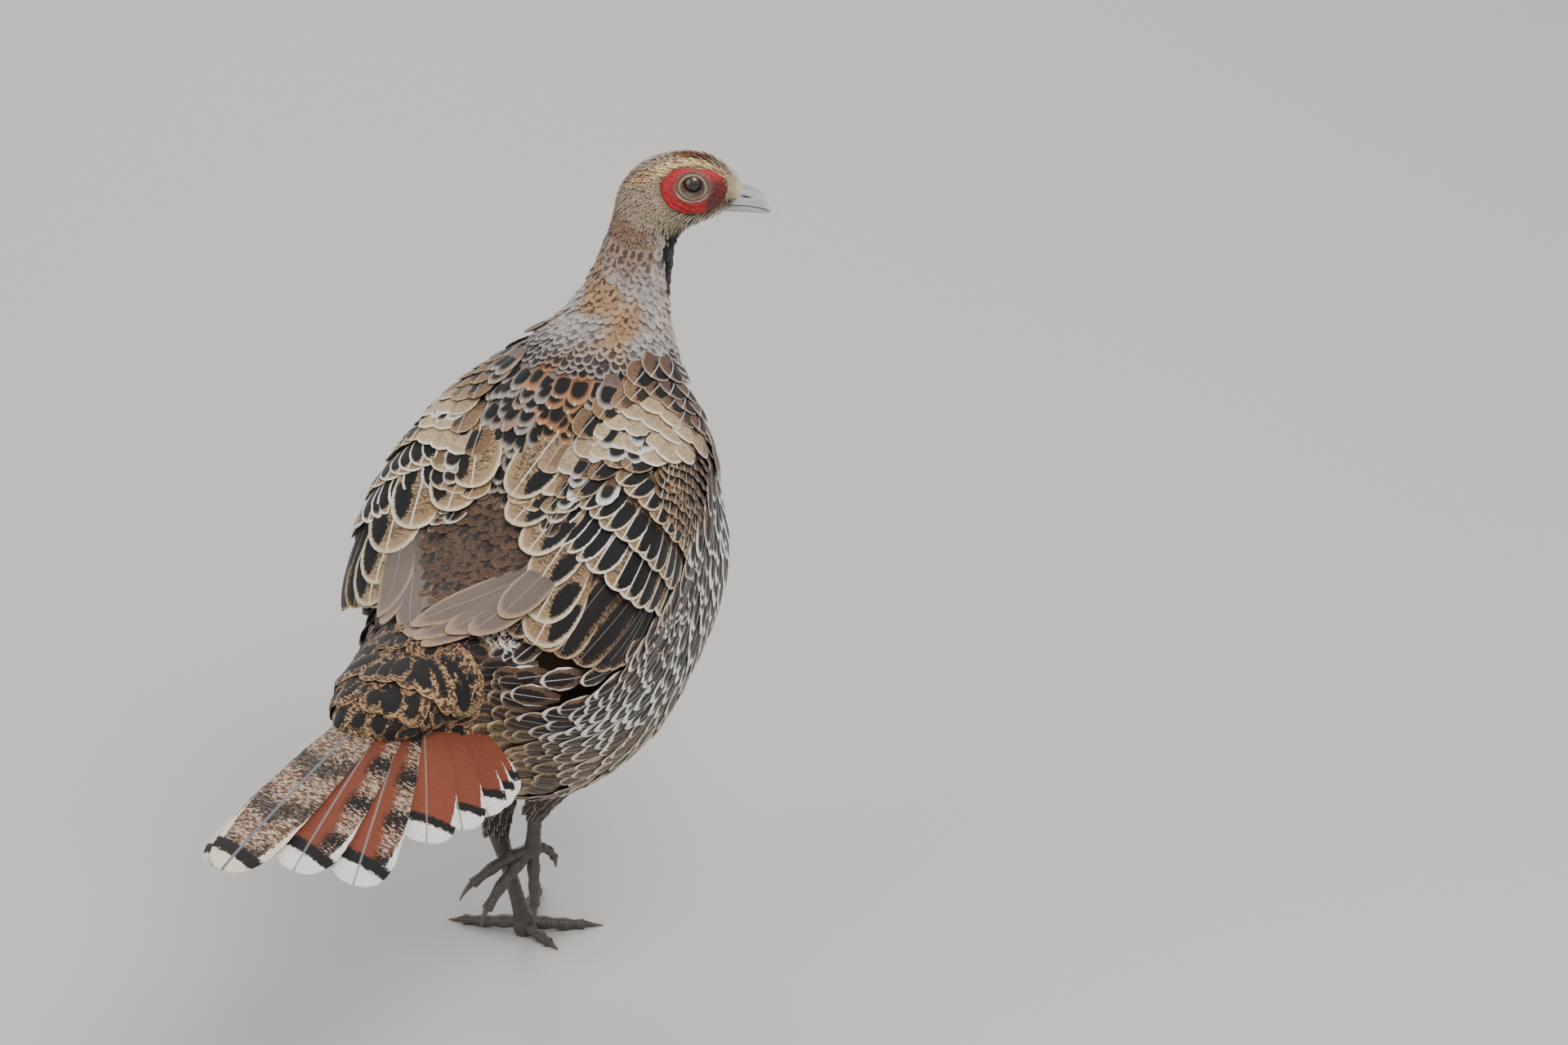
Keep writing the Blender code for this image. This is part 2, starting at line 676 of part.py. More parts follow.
def wing_core(name, side, grow=0.0):
    """The folded arm and its lesser coverts: a slab that follows the bird's flank, sunk into a bed.

    With grow it is the open bed for that slab.
    """
    outer = [wing_outline(side, share) for share in (1.0, 0.8, 0.52, 0.24)]
    deep = (WING_BED[1],) + (WING_BED[0],) * 3
    inner = [settle(trunk_field, ring, -depth) for ring, depth in zip(outer, deep)]
    first = wing_outline(side, 0.0)[0]
    last = settle(trunk_field, first[None], -WING_BED[0])[0]
    if grow:
        rise = unit(outer[0] - inner[0])
        away = outer[0] - first
        away = unit(away - rise * np.sum(away * rise, axis=1, keepdims=True))
        up = unit(first - last)
        side_top = outer[0] + away * grow * MM
        outer = [side_top, side_top + unit(rise + 0.4 * up) * 6 * MM]
        inner = [inner[0] + (away - rise) * grow * MM] + [q - up * 1.5 * grow * MM for q in inner[1:]]
        first = first + up * 12 * MM
        last = last - up * 1.5 * grow * MM
    return rings_mesh(name, outer[::-1] + inner, first, last)


def over_trunk(side, spare):
    """A move that keeps feather points clear of the trunk wherever the wing's bed doesn't make room."""
    _, turn = wing_frame(side)
    rim = wing_outline(side, 1.0)
    middle = rim.mean(axis=0)
    flat = ((rim - middle) @ turn)[:, [0, 2]]
    turns = np.unwrap(np.arctan2(flat[:, 1], flat[:, 0]))
    reach = np.linalg.norm(flat, axis=1)

    def clear(points):
        """Points past the bed's outline lifted off the trunk."""
        flat = ((points - middle) @ turn)[:, [0, 2]]
        edge = np.interp(np.arctan2(flat[:, 1], flat[:, 0]), turns, reach, period=2 * math.pi)
        share = np.linalg.norm(flat, axis=1) / edge
        need = np.interp(share, BED_USE, (-WING_BED[0], VANE_CLEAR + spare))
        low = trunk_field(points) < need * MM
        return np.where(low[:, None], settle(trunk_field, points, need), points)
    return clear


def wing_vanes(side, rng):
    """Flight feathers and greater coverts of one folded wing, tier by tier."""
    vanes = []
    lay = winged_field
    for i, (along, above) in enumerate(table(SECONDARY_TIPS, SECONDARIES)):
        share = i / (SECONDARIES - 1)
        length = SECONDARY_LENGTH[0] + (SECONDARY_LENGTH[1] - SECONDARY_LENGTH[0]) * share
        length += rng.uniform(-1.5, 1.5)
        tip = wing_point(side, along, 14, above)
        root = wing_point(side, along + length, 16, above + 2 + 16 * share)
        clear = over_trunk(side, 0.11 * (i % 3))
        vanes.append(laid_vane('secondary', lay, root, tip, 22, (-4.2, -0.4), 8 * side, 4, clear=clear))
    for i, (along, above) in enumerate(table(COVERT_TIPS, COVERTS)):
        share = i / (COVERTS - 1)
        length = COVERT_LENGTH[0] + (COVERT_LENGTH[1] - COVERT_LENGTH[0]) * share
        tip = wing_point(side, along + rng.uniform(-1, 1), 16, above)
        root = wing_point(side, along + length, 16, above + 1 + 9 * share)
        clear = over_trunk(side, 1.9 + 0.11 * (i % 3))
        vanes.append(laid_vane('covert', lay, root, tip, 25, (-4.0, 1.8), 7 * side, steps=4, clear=clear))
    for i, (along, above) in enumerate(TERTIAL_TIPS):
        tip = wing_point(side, along, 4, above)
        root = wing_point(side, along + TERTIAL_LENGTH, 8, above - 3)
        rise = 3.4 - 0.7 * i
        clear = over_trunk(side, 1.5 + rise * 0.5)
        vanes.append(laid_vane('tertial', lay, root, tip, 27, (-4.0, rise), 3 * side, clear=clear))
    for i in range(PRIMARIES[side]):
        share = i / (len(PRIMARY_TIPS) - 1)
        forward, outward, up = PRIMARY_TIPS[i]
        tip = body(forward, outward * side, up)
        start = np.array(PRIMARY_ROOTS[0]) * (1 - share) + np.array(PRIMARY_ROOTS[1]) * share
        root = wing_point(side, *start)
        top = 1.9 + 0.55 * i if side > 0 else 3.2 + 0.9 * i
        clear = over_trunk(side, 1.2 + 0.17 * i)
        lifts = (-4.2, top)
        vanes.append(laid_vane('primary', lay, root, tip, 16, lifts, 0, 4, thick=(1.0, 0.6), clear=clear))
    return vanes


def tail_frame():
    """Root of the tail, its ridge direction, and the level direction to the bird's right of it."""
    base, tip = body(*TAIL_BASE), world(*TAIL_TIP)
    ridge = unit(tip - base)
    right = unit(np.cross(ridge, np.array([0.0, 0.0, 1.0])))
    return base, ridge, right if right[0] < 0 else -right


def fan_side(side, slope):
    """Sideways direction of the fan on one half, going down by the slope, and the normal over it."""
    _, ridge, right = tail_frame()
    down = np.cross(ridge, right)
    down = down if down[2] < 0 else -down
    s = math.radians(slope)
    along = -side * right * math.cos(s) + down * math.sin(s)
    return along, -down * math.cos(s) - side * right * math.sin(s)


def fan_point(side, reach, angle, slope, height=0.0):
    """A point of the tail's fan; side is 1 on the left, angle is degrees from the ridge."""
    base, ridge, _ = tail_frame()
    aside, normal = fan_side(side, slope)
    a = math.radians(angle)
    return base + (ridge * reach * math.cos(a) + aside * reach * math.sin(a) + normal * height) * MM


def rectrix_line(side, i):
    """Root, tip and normal of one tail feather; each lies under the one nearer the middle."""
    length, angle, slope, roll, _ = RECTRICES[side][i]
    depth = -RECTRIX_STEP * (i + (0.7 if side > 0 else 0.0))
    tip = fan_point(side, length, angle, slope, depth)
    root = fan_point(side, 16 + 0.5 * i, angle * 0.9, slope, depth * 0.5 - 2.0)
    return root, tip, fan_side(side, roll)[1]


def straight_vane(name, root, tip, normal, width, thick, bow, camber):
    """A feather on a line from root to tip that bows up along its normal and droops at its edges."""
    u, share = vane_outline(5, tip=0.45)
    line = root[None] * (1 - u[:, None]) + tip[None] * u[:, None]
    line = line + normal * (np.sin(u * math.pi) * bow * MM)[:, None]
    tangents = unit(np.gradient(line, axis=0))
    sides = unit(np.cross(tangents, normal))
    normals = unit(np.cross(sides, tangents))
    half = (width / 2 * share)[:, None] * MM
    edge = normals * half * camber
    grid = np.stack([line - sides * half - edge, line, line + sides * half - edge], axis=1)
    normals = np.repeat(normals[:, None], 3, axis=1)
    return vane_mesh(name, grid, normals, thick[0] + (thick[1] - thick[0]) * u)


# Tiers of tail coverts: reach from the tail's root and width, and degrees from the ridge on each half
UPPER_COVERT_TIERS = ((63, 23), (42, 22))
UNDER_COVERT_TIERS = ((56, -15.0, 26),)
COVERT_SPREAD = {-1: (6, 26, 48), 1: (14, 38)}
UNDER_SPREAD = {-1: (12, 40), 1: (12,)}
FAN_COVER = 1.3


def fan_slope(side, angle):
    """Slope of the fan at an angle from its ridge."""
    rows = np.array(RECTRICES[side])
    return float(np.interp(angle, rows[:, 1], rows[:, 2]))


def tail_cover_field(p):
    """The tail's root and the roof of its fan together, which the upper coverts lie over."""
    roof = []
    for side, picks in ((-1, (0, 1, 3, 6)), (1, (0, 1, 3))):
        for i in picks:
            root, _, normal = rectrix_line(side, i)
            roof.append((p - root) @ normal)
    return smooth_min(trunk_field(p), np.max(roof, axis=0) - FAN_COVER * MM, 8)


def tail_mesh(name, rng):
    """The tail: sixteen graduated feathers fanned to the right, with coverts over and under their roots."""
    places = stations(TAIL_STATIONS, 7)
    first = (places[0][0] - places[0][1][:, 0] * GAP * MM, places[0][1])
    rings = [section(trunk_field, c, f, 20, 80) for c, f in [first] + places[1:-1]]
    core = rings_mesh(name, rings, None, body(-153.5, 2, 186.5))
    vanes = []
    for side, rows in RECTRICES.items():
        for i, row in enumerate(rows):
            root, tip, normal = rectrix_line(side, i)
            tip = tip + unit(tip - root) * rng.uniform(-1, 1) * MM
            vanes.append(straight_vane('rectrix', root, tip, normal, row[-1], (1.0, 0.7), 2.0, 0.06))
    for tier, (reach, width) in enumerate(UPPER_COVERT_TIERS):
        for side, spread in COVERT_SPREAD.items():
            for angle in spread:
                length = reach - 0.12 * angle + rng.uniform(-2, 2)
                slope = fan_slope(side, angle)
                tip = fan_point(side, length, angle, slope, 6)
                root = fan_point(side, length - 28, angle * 0.8, slope, 9)
                lifts = (-2.4, 1.0 + 0.5 * tier)
                vanes.append(laid_vane('covert', tail_cover_field, root, tip, width, lifts, 5 * side, 4))
    for reach, height, width in UNDER_COVERT_TIERS:
        for side, spread in UNDER_SPREAD.items():
            for angle in spread:
                tip = fan_point(side, reach + rng.uniform(-2, 2), angle, 20, height)
                root = fan_point(side, reach - 34, angle * 0.7, 20, height + 7)
                below = fan_side(side, 20)[1]
                vanes.append(straight_vane('under', root, tip, below, width, (1.0, 0.6), -1.5, 0.0))
    return joined(name, core, vanes)


# Toes of the standing foot: end forward and left, radius at root and end
STANDING_TOES = (
    (35.0, 15.0, 3.7, 2.5), (-6.5, 30.5, 3.5, 2.4),
    (20.0, -22.5, 3.5, 2.4), (-3.5, -17.5, 3.0, 2.2),
)
CLAW_LENGTHS = (11.0, 9.5, 10.5, 7.0)
RAISED_TOES = ((-40, 2, 48), (-40, -6, 36), (-12, -15, 27), (3, -17, 47))
RAISED_RADII = (3.4, 3.5, 3.4, 2.6)
FOOT_TOP = 13.0


def standing_toe(end, pads=3):
    """Path and radii of one toe on the floor, with a pad swelling under each joint."""
    forward, left, thick, thin = end
    u = np.linspace(0, 1, 3 * pads)
    reach = np.array([forward, left, 0.0])
    lift = 4.6 * (1 - u) ** 2 + (thick + (thin - thick) * u) * 0.78
    arch = np.sin(u * math.pi) * 0.6
    path = np.array([world(*(reach * s + np.array([0, 0, h + k]))) for s, h, k in zip(u, lift, arch)])
    swell = 0.28 * np.cos(u * pads * 2 * math.pi) + 0.1
    return path, (thick + (thin - thick) * u) + swell


def claw_mesh(name, at, direction, down, length, radius):
    """A curved claw tapering to a blunt point."""
    u = np.linspace(0, 1, 5)
    path = at + (np.outer(u, direction) * length + np.outer(u ** 2, down) * length * 0.32) * MM
    return tube_mesh(name, path, radius * (1 - 0.86 * u ** 1.2), 6)


def foot_left(surfaces):
    """The standing foot with its four toes, flat underneath, and the claws."""
    heights = (0, 2.6, 6, 9.5, FOOT_TOP)
    hub = tube_mesh('hub', [world(0, 0, h) for h in heights], (4.0, 5.0, 5.1, 4.9, 4.8), 12)
    toes = []
    ends = []
    for row in STANDING_TOES:
        path, radii = standing_toe(row)
        toes.append(tube_mesh('toe', path, radii, 8, floor=True))
        ends.append((path, radii))
    mesh = cut('foot_left', joined('foot_left', hub, toes), [stub('ankle', TARSUS_L, 'foot')])
    finish('foot_left', mesh, surfaces['leg'])
    for i, ((path, radii), length) in enumerate(zip(ends, CLAW_LENGTHS)):
        direction = unit(path[-1] - path[-2])
        at = path[-1] + direction * GAP * MM + np.array([0, 0, 0.35]) * MM
        low = np.array([0, 0, -1.0])
        mesh = claw_mesh('claw', at, direction, low, length, min(1.75, radii[-1] - 0.4))
        zs = np.array([v.co.z for v in mesh.vertices])
        if zs.min() < 0.0:
            for v in mesh.vertices:
                v.co.z = max(v.co.z, 0.0)
        finish(f'claw_left_{i + 1}', mesh, surfaces['claw'])


def foot_right(surfaces):
    """The raised foot, its toes hanging half closed behind it."""
    joint = world(*TARSUS_R[1])
    hub = ball_mesh('hub', joint + np.array([0, 0, -1.2]) * MM, (4.9, 4.9, 4.4), np.eye(3), 12, 8)
    toes = []
    claws = []
    for i, (tip, radius) in enumerate(zip(RAISED_TOES, RAISED_RADII)):
        tip = world(*tip)
        u = np.linspace(0, 1, 9)
        chord = tip - joint
        bow = unit(np.cross(chord, np.cross(np.array([0.0, 0.0, 1.0]), chord)))
        path = joint + np.outer(u, chord) + np.outer(np.sin(u * math.pi), bow) * 2.4 * MM
        radii = radius * (1 - 0.28 * u) + 0.25 * np.cos(u * 6 * math.pi)
        toes.append(tube_mesh('toe', path, radii, 8))
        claws.append((path, radii))
    mesh = joined('foot_right', hub, toes)
    top = tube_mesh('top', [joint + np.array([0, 0, h]) * MM for h in (2.2, 12.0)], (9.0, 9.0), 12)
    finish('foot_right', cut('foot_right', mesh, [top]), surfaces['leg'])
    for i, ((path, radii), length) in enumerate(zip(claws, CLAW_LENGTHS)):
        direction = unit(path[-1] - path[-2])
        at = path[-1] + direction * GAP * MM
        low = unit(np.array([0, 0, -1.0]) + direction * direction[2])
        finish(f'claw_right_{i + 1}', claw_mesh('claw', at, direction, low, length, 1.7), surfaces['claw'])


def limb(name, start, end, radii, around=16, trim=(0.0, 0.0)):
    """A straight limb of round sections; trim shortens each end."""
    axis = unit(end - start)
    a, b = start + axis * trim[0] * MM, end - axis * trim[1] * MM
    u = np.linspace(0, 1, len(radii))
    return tube_mesh(name, a[None] * (1 - u[:, None]) + b[None] * u[:, None], radii, around)


def stub(name, tarsus, end):
    """A wide short rod from one end of a tarsus, which trims its neighbour to a flat that faces it."""
    top, foot = (world(*q) for q in tarsus)
    axis = unit(foot - top)
    at = top if end == 'top' else foot
    way = axis if end == 'top' else -axis
    return tube_mesh(name, [at, at + way * 24 * MM], (16.0, 16.0), 12)


def thigh_mesh(name, spec, tarsus, cutters):
    """A feathered thigh, tapering to the ankle and cut to lie against the belly."""
    hip, wide, ankle, narrow = spec
    start, end = body(*hip), world(*ankle)
    axis = unit(end - start)
    end = end + axis * 3 * MM
    u = np.linspace(0, 1, 9)
    radii = narrow + (wide - narrow) * (1 - u) ** 1.3
    side = unit(np.cross(axis, np.array([0.0, 1.0, 0.0])))
    frame = np.stack([axis, side, np.cross(side, axis)], axis=1)
    directions = circle_directions(frame, 20)
    rings = [start + (end - start) * s + directions * r * MM for s, r in zip(u, radii)]
    whole = rings_mesh(name, rings, start - axis * wide * 0.4 * MM, None)
    return cut(name, whole, cutters + [stub('ankle', tarsus, 'top')])


def make_surfaces():
    """Plain colours for each kind of sub-part."""
    return {
        'feather_mottled': material('mottled brown plumage', (0.20, 0.12, 0.07), 0.75),
        'feather_wing': material('buff and black wing plumage', (0.30, 0.20, 0.12), 0.7),
        'feather_tail': material('chestnut tail plumage', (0.26, 0.09, 0.045), 0.7),
        'feather_neck': material('grey neck plumage', (0.36, 0.31, 0.28), 0.8),
        'feather_head': material('buff head plumage', (0.42, 0.30, 0.20), 0.8),
        'feather_thigh': material('dusky thigh plumage', (0.10, 0.075, 0.06), 0.85),
        'skin': material('bare red skin', (0.45, 0.03, 0.02), 0.55),
        'eye': material('dark moist eye', (0.03, 0.015, 0.01), 0.1),
        'bill': material('pale horn', (0.40, 0.42, 0.44), 0.4),
        'leg': material('scaled grey-brown skin', (0.12, 0.10, 0.085), 0.6),
        'claw': material('brown horn', (0.25, 0.17, 0.12), 0.4),
    }


def build_head(surfaces):
    """Head with its eyes, bare skin and bill."""
    sockets = [eye_mesh('socket', side, GAP) for side in (1, -1)]
    beds = [patch_mesh('bed', side, GAP) for side in (1, -1)]
    bills = [bill_mesh('bill', BILL_UPPER, True, GAP), bill_mesh('bill', BILL_LOWER, False, GAP)]
    finish('head', cut('head', head_mesh('head'), sockets + beds + bills), surfaces['feather_head'])
    for label, side in (('left', 1), ('right', -1)):
        finish(f'eye_{label}', eye_mesh('eye', side), surfaces['eye'])
        finish(f'face_{label}', patch_mesh(f'face_{label}', side), surfaces['skin'])
    forward, left, up = NOSTRIL
    lean = axes(HEAD_YAW, -24)
    nostrils = [ball_mesh('nostril', head_point(forward, left * s, up), NOSTRIL_HALF, lean, 12, 8)
                for s in (1, -1)]
    upper = cut('bill_upper', bill_mesh('upper', BILL_UPPER, True), nostrils)
    finish('bill_upper', upper, surfaces['bill'])
    finish('bill_lower', bill_mesh('bill_lower', BILL_LOWER, False), surfaces['bill'])


def build():
    """Every sub-part, from the trunk outward."""
    rng = random.Random(SEED)
    surfaces = make_surfaces()
    beds = [wing_core('bed', side, 2 * GAP) for side in (1, -1)]
    finish('torso', cut('torso', trunk_mesh('torso'), beds), surfaces['feather_mottled'])
    finish('neck', neck_mesh('neck'), surfaces['feather_neck'])
    build_head(surfaces)
    for label, side in (('left', 1), ('right', -1)):
        room = cut('room', trunk_mesh('room', GAP), [wing_core('bed', side, GAP)])
        mesh = joined(f'wing_{label}', wing_core('core', side), wing_vanes(side, rng))
        mesh = cut(f'wing_{label}', mesh, [room])
        finish(f'wing_{label}', mesh, surfaces['feather_wing'])
    finish('tail', tail_mesh('tail', rng), surfaces['feather_tail'])
    for name, spec, tarsus in (('thigh_left', THIGH_L, TARSUS_L), ('thigh_right', THIGH_R, TARSUS_R)):
        mesh = thigh_mesh(name, spec, tarsus, [trunk_mesh('clear', GAP)])
        finish(name, mesh, surfaces['feather_thigh'])
    for label, (top, foot), low in (('left', TARSUS_L, 0.0), ('right', TARSUS_R, 2.6)):
        mesh = limb(f'tarsus_{label}', world(*top), world(*foot), TARSUS_RADII, trim=(GAP, low + GAP))
        finish(f'tarsus_{label}', mesh, surfaces['leg'])
    foot_left(surfaces)
    foot_right(surfaces)


def main():
    """Clear the scene and build the bird."""
    for thing in list(bpy.data.objects):
        bpy.data.objects.remove(thing, do_unlink=True)
    build()


main()
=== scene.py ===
"""A life-size hen pheasant: its skin, eyes, bill, feet and every feather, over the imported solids.

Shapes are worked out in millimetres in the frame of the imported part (the bird faces -Y, its left is
+X and the floor is z = 0) and turned to metres when a mesh is made.
"""
from __future__ import annotations

import logging
import math
from collections.abc import Callable
from dataclasses import dataclass, field
from enum import Enum
from functools import partial

import bpy
import numpy as np
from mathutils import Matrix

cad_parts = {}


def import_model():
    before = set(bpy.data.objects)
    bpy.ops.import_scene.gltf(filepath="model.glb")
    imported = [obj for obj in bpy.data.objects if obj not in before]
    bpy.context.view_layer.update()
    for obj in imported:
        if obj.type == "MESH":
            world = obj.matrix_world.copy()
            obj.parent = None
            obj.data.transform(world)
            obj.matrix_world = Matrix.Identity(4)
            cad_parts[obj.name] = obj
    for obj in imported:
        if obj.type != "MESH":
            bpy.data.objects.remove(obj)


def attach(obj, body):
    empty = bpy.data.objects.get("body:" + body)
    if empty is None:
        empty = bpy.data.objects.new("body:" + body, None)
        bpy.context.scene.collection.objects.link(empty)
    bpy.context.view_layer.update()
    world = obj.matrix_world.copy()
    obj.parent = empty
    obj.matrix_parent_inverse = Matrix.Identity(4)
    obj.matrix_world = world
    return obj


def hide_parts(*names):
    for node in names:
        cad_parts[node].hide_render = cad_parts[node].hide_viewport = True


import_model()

LOG = logging.getLogger("pheasant")
MM = 0.001
Array = np.ndarray
Thing = bpy.types.Object
Finish = bpy.types.Material
Field = Callable[[Array], Array]
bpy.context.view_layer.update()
PATCH_CENTRE = np.array([3.8, 0.5])
PATCH_HALF = np.array([15.2, 10.4])
PATCH_POWER = 2.3
ARM_MIDDLE = np.array([15.0, 4.0])
ARM_HALF = np.array([60.0, 39.0])
ARM_POWER = 2.5


class Side(Enum):
    """The bird's own left and right; the value is the sign of its left axis."""

    LEFT = 1
    RIGHT = -1

    @property
    def label(self) -> str:
        """The side's name in small letters."""
        return self.name.lower()


def linear(code: str) -> tuple[float, float, float, float]:
    """Turns an sRGB hex colour such as "#a0522d" to linear red, green, blue and alpha.

    Args:
        code: six hex digits after a hash.

    Returns:
        Four numbers from 0 to 1.
    """
    parts = [int(code[i:i + 2], 16) / 255 for i in (1, 3, 5)]
    return (*(p / 12.92 if p <= 0.04045 else ((p + 0.055) / 1.055) ** 2.4 for p in parts), 1.0)


def rgb(code: str) -> Array:
    """Linear red, green and blue of an sRGB hex colour."""
    return np.array(linear(code)[:3])


def paint(colour: Array, mask: Array, code: str) -> Array:
    """Colours with another laid over them where the mask is high."""
    m = np.clip(mask, 0, 1)[..., None]
    return colour * (1 - m) + rgb(code) * m


def circle(count: int) -> Array:
    """Even angles round a turn, in radians."""
    return np.arange(count) * 2 * math.pi / count


def unit(v: Array) -> Array:
    """Scales vectors along the last axis to length one."""
    return v / np.maximum(np.linalg.norm(v, axis=-1, keepdims=True), 1e-9)


def smoothstep(low: float, high: float, x: Array) -> Array:
    """Rises from 0 at low to 1 at high as 3t^2 - 2t^3."""
    t = np.clip((x - low) / (high - low), 0.0, 1.0)
    return t * t * (3 - 2 * t)


def smooth_min(a: Array, b: Array, k: float) -> Array:
    """The lower of two fields, rounded over k millimetres where they meet."""
    h = np.clip(0.5 + 0.5 * (b - a) / k, 0.0, 1.0)
    return b + (a - b) * h - k * h * (1.0 - h)


def axes(yaw: float, pitch: float, roll: float = 0.0) -> Array:
    """Forward, left and up of a turned piece as the columns of a matrix.

    Args:
        yaw: degrees turned to the right.
        pitch: degrees raised.
        roll: degrees that the left side is lowered.

    Returns:
        A 3 by 3 matrix.
    """
    y, p, r = (math.radians(v) for v in (yaw, pitch, roll))
    forward = np.array([-math.sin(y) * math.cos(p), -math.cos(y) * math.cos(p), math.sin(p)])
    left = np.array([math.cos(y), -math.sin(y), 0.0])
    up = -np.cross(forward, left)
    up = up if up[2] > 0 else -up
    columns = (forward, left * math.cos(r) - up * math.sin(r), up * math.cos(r) + left * math.sin(r))
    return np.stack(columns, axis=1)


def world(forward: float, left: float, up: float) -> Array:
    """A point from millimetres forward, left and up of the standing foot."""
    return np.array([left, -forward, up], float)


def ellipsoid(p: Array, centre: Array, half: tuple, turn: Array) -> Array:
    """Distance to an ellipsoid, as k0 (k0 - 1) / k1 with k0 = |q / r| and k1 = |q / r^2|."""
    q = (p - centre) @ turn
    r = np.asarray(half, float)
    k0 = np.linalg.norm(q / r, axis=-1)
    return k0 * (k0 - 1.0) / np.maximum(np.linalg.norm(q / (r * r), axis=-1), 1e-9)


def round_cone(p: Array, a: Array, b: Array, radius_a: float, radius_b: float) -> Array:
    """Distance to a tapered rod: length off its axis less a radius eased from one end to the other."""
    ab = b - a
    h = np.clip(((p - a) @ ab) / (ab @ ab), 0.0, 1.0)
    h = h * (0.65 + 0.35 * h * (3.0 - 2.0 * h))
    return np.linalg.norm(p - a - h[..., None] * ab, axis=-1) - (radius_a + (radius_b - radius_a) * h)


def gradient(form: Field, p: Array) -> Array:
    """Outward unit normal of a field, from central differences of 0.4 mm."""
    steps = np.eye(3) * 0.4
    return unit(np.stack([form(p + e) - form(p - e) for e in steps], axis=-1))


def settle(form: Field, p: Array, level: Array | float, rounds: int = 3) -> Array:
    """Moves points along the normal until the field there is the level: p - n (f(p) - level)."""
    for _ in range(rounds):
        p = p - gradient(form, p) * (form(p) - level)[..., None]
    return p


def halve(reached: Field, low: Array, high: Array, rounds: int) -> tuple[Array, Array]:
    """Halves ranges round the place from which something is reached.

    Args:
        reached: whether it is reached at each middle.
        low: values at which it isn't.
        high: values at which it is.
        rounds: how many times.

    Returns:
        The narrowed low and high.
    """
    for _ in range(rounds):
        middle = (low + high) / 2
        out = reached(middle)
        high, low = np.where(out, middle, high), np.where(out, low, middle)
    return low, high


def spline(rows: Array | tuple, count: int) -> Array:
    """Catmull-Rom curve through rows of numbers, sampled evenly in its parameter."""
    rows = np.asarray(rows, float)
    rows = np.vstack([2 * rows[0] - rows[1], rows, 2 * rows[-1] - rows[-2]])
    u = np.linspace(0, len(rows) - 3 - 1e-9, count)
    i = u.astype(int)
    t = (u - i)[:, None]
    a, b, c, d = rows[i], rows[i + 1], rows[i + 2], rows[i + 3]
    return 0.5 * (2 * b + (c - a) * t + (2 * a - 5 * b + 4 * c - d) * t ** 2
                  + (3 * b - a - 3 * c + d) * t ** 3)


def table(rows: Array | tuple, count: int) -> Array:
    """Rows read evenly along straight lines between given rows."""
    rows = np.asarray(rows, float)
    u = np.linspace(0, len(rows) - 1, count)
    return np.stack([np.interp(u, np.arange(len(rows)), rows[:, k]) for k in range(rows.shape[1])], axis=1)


def add(tree: bpy.types.NodeTree, kind: str, links: dict | None = None, **settings: object) -> bpy.types.Node:
    """Adds one shader node with its settings, and links or fills its inputs.

    Args:
        tree: the material's nodes.
        kind: the node's type without "ShaderNode".
        links: input name or index to a value, a socket, a node whose first output is taken, or a sum
            written as its operation and values, which becomes nodes of its own.
        settings: the node's own properties.

    Returns:
        The new node.
    """
    node = tree.nodes.new("ShaderNode" + kind)
    for key, value in settings.items():
        setattr(node, key, value)
    for key, value in (links or {}).items():
        into = node.inputs[key] if isinstance(key, int) else next(
            s for s in node.inputs if s.enabled and s.name == key)
        if isinstance(value, tuple) and isinstance(value[0], str):
            value = add(tree, "Math", dict(enumerate(value[1:])), operation=value[0])
        if isinstance(value, bpy.types.Node):
            value = next(s for s in value.outputs if s.enabled)
        if isinstance(value, bpy.types.NodeSocket):
            tree.links.new(value, into)
        else:
            into.default_value = value
    return node


def blank(name: str) -> tuple[Finish, bpy.types.NodeTree, bpy.types.Node]:
    """A new material, its nodes and its Principled shader."""
    made = bpy.data.materials.new(name)
    made.use_nodes = True
    return made, made.node_tree, made.node_tree.nodes["Principled BSDF"]


def mesh_object(name: str, points: Array, loops: Array, sizes: Array, finish: Finish,
                uvs: dict[str, Array] | None = None, values: dict[str, Array] | None = None,
                sharp: float = 60.0) -> Thing:
    """Puts whole arrays into a mesh object at the origin.

    Args:
        name: the piece's name.
        points: vertices in millimetres.
        loops: vertex index of each face corner, face after face.
        sizes: corners of each face.
        finish: its material.
        uvs: map name to one coordinate pair per vertex.
        values: attribute name to one number, or one red, green and blue, per vertex.
        sharp: edges that bend more than this many degrees are shaded sharp.

    Returns:
        The object, linked to the scene.
    """
    mesh = bpy.data.meshes.new(name)
    mesh.vertices.add(len(points))
    mesh.vertices.foreach_set("co", (points * MM).astype(np.float32).ravel())
    mesh.loops.add(len(loops))
    mesh.loops.foreach_set("vertex_index", loops.astype(np.int32))
    mesh.polygons.add(len(sizes))
    mesh.polygons.foreach_set("loop_start", np.concatenate([[0], np.cumsum(sizes)[:-1]]).astype(np.int32))
    mesh.update(calc_edges=True)
    for key, uv in (uvs or {}).items():
        layer = mesh.uv_layers.new(name=key)
        layer.uv.foreach_set("vector", uv[loops].astype(np.float32).ravel())
    for key, value in (values or {}).items():
        if value.ndim == 1:
            mesh.attributes.new(key, "FLOAT", "POINT").data.foreach_set("value", value.astype(np.float32))
        else:
            colour = np.column_stack([value, np.ones(len(value))]).astype(np.float32)
            mesh.attributes.new(key, "FLOAT_COLOR", "POINT").data.foreach_set("color", colour.ravel())
    mesh.materials.append(finish)
    mesh.shade_smooth()
    mesh.set_sharp_from_angle(angle=math.radians(sharp))
    thing = bpy.data.objects.new(name, mesh)
    bpy.context.scene.collection.objects.link(thing)
    return thing


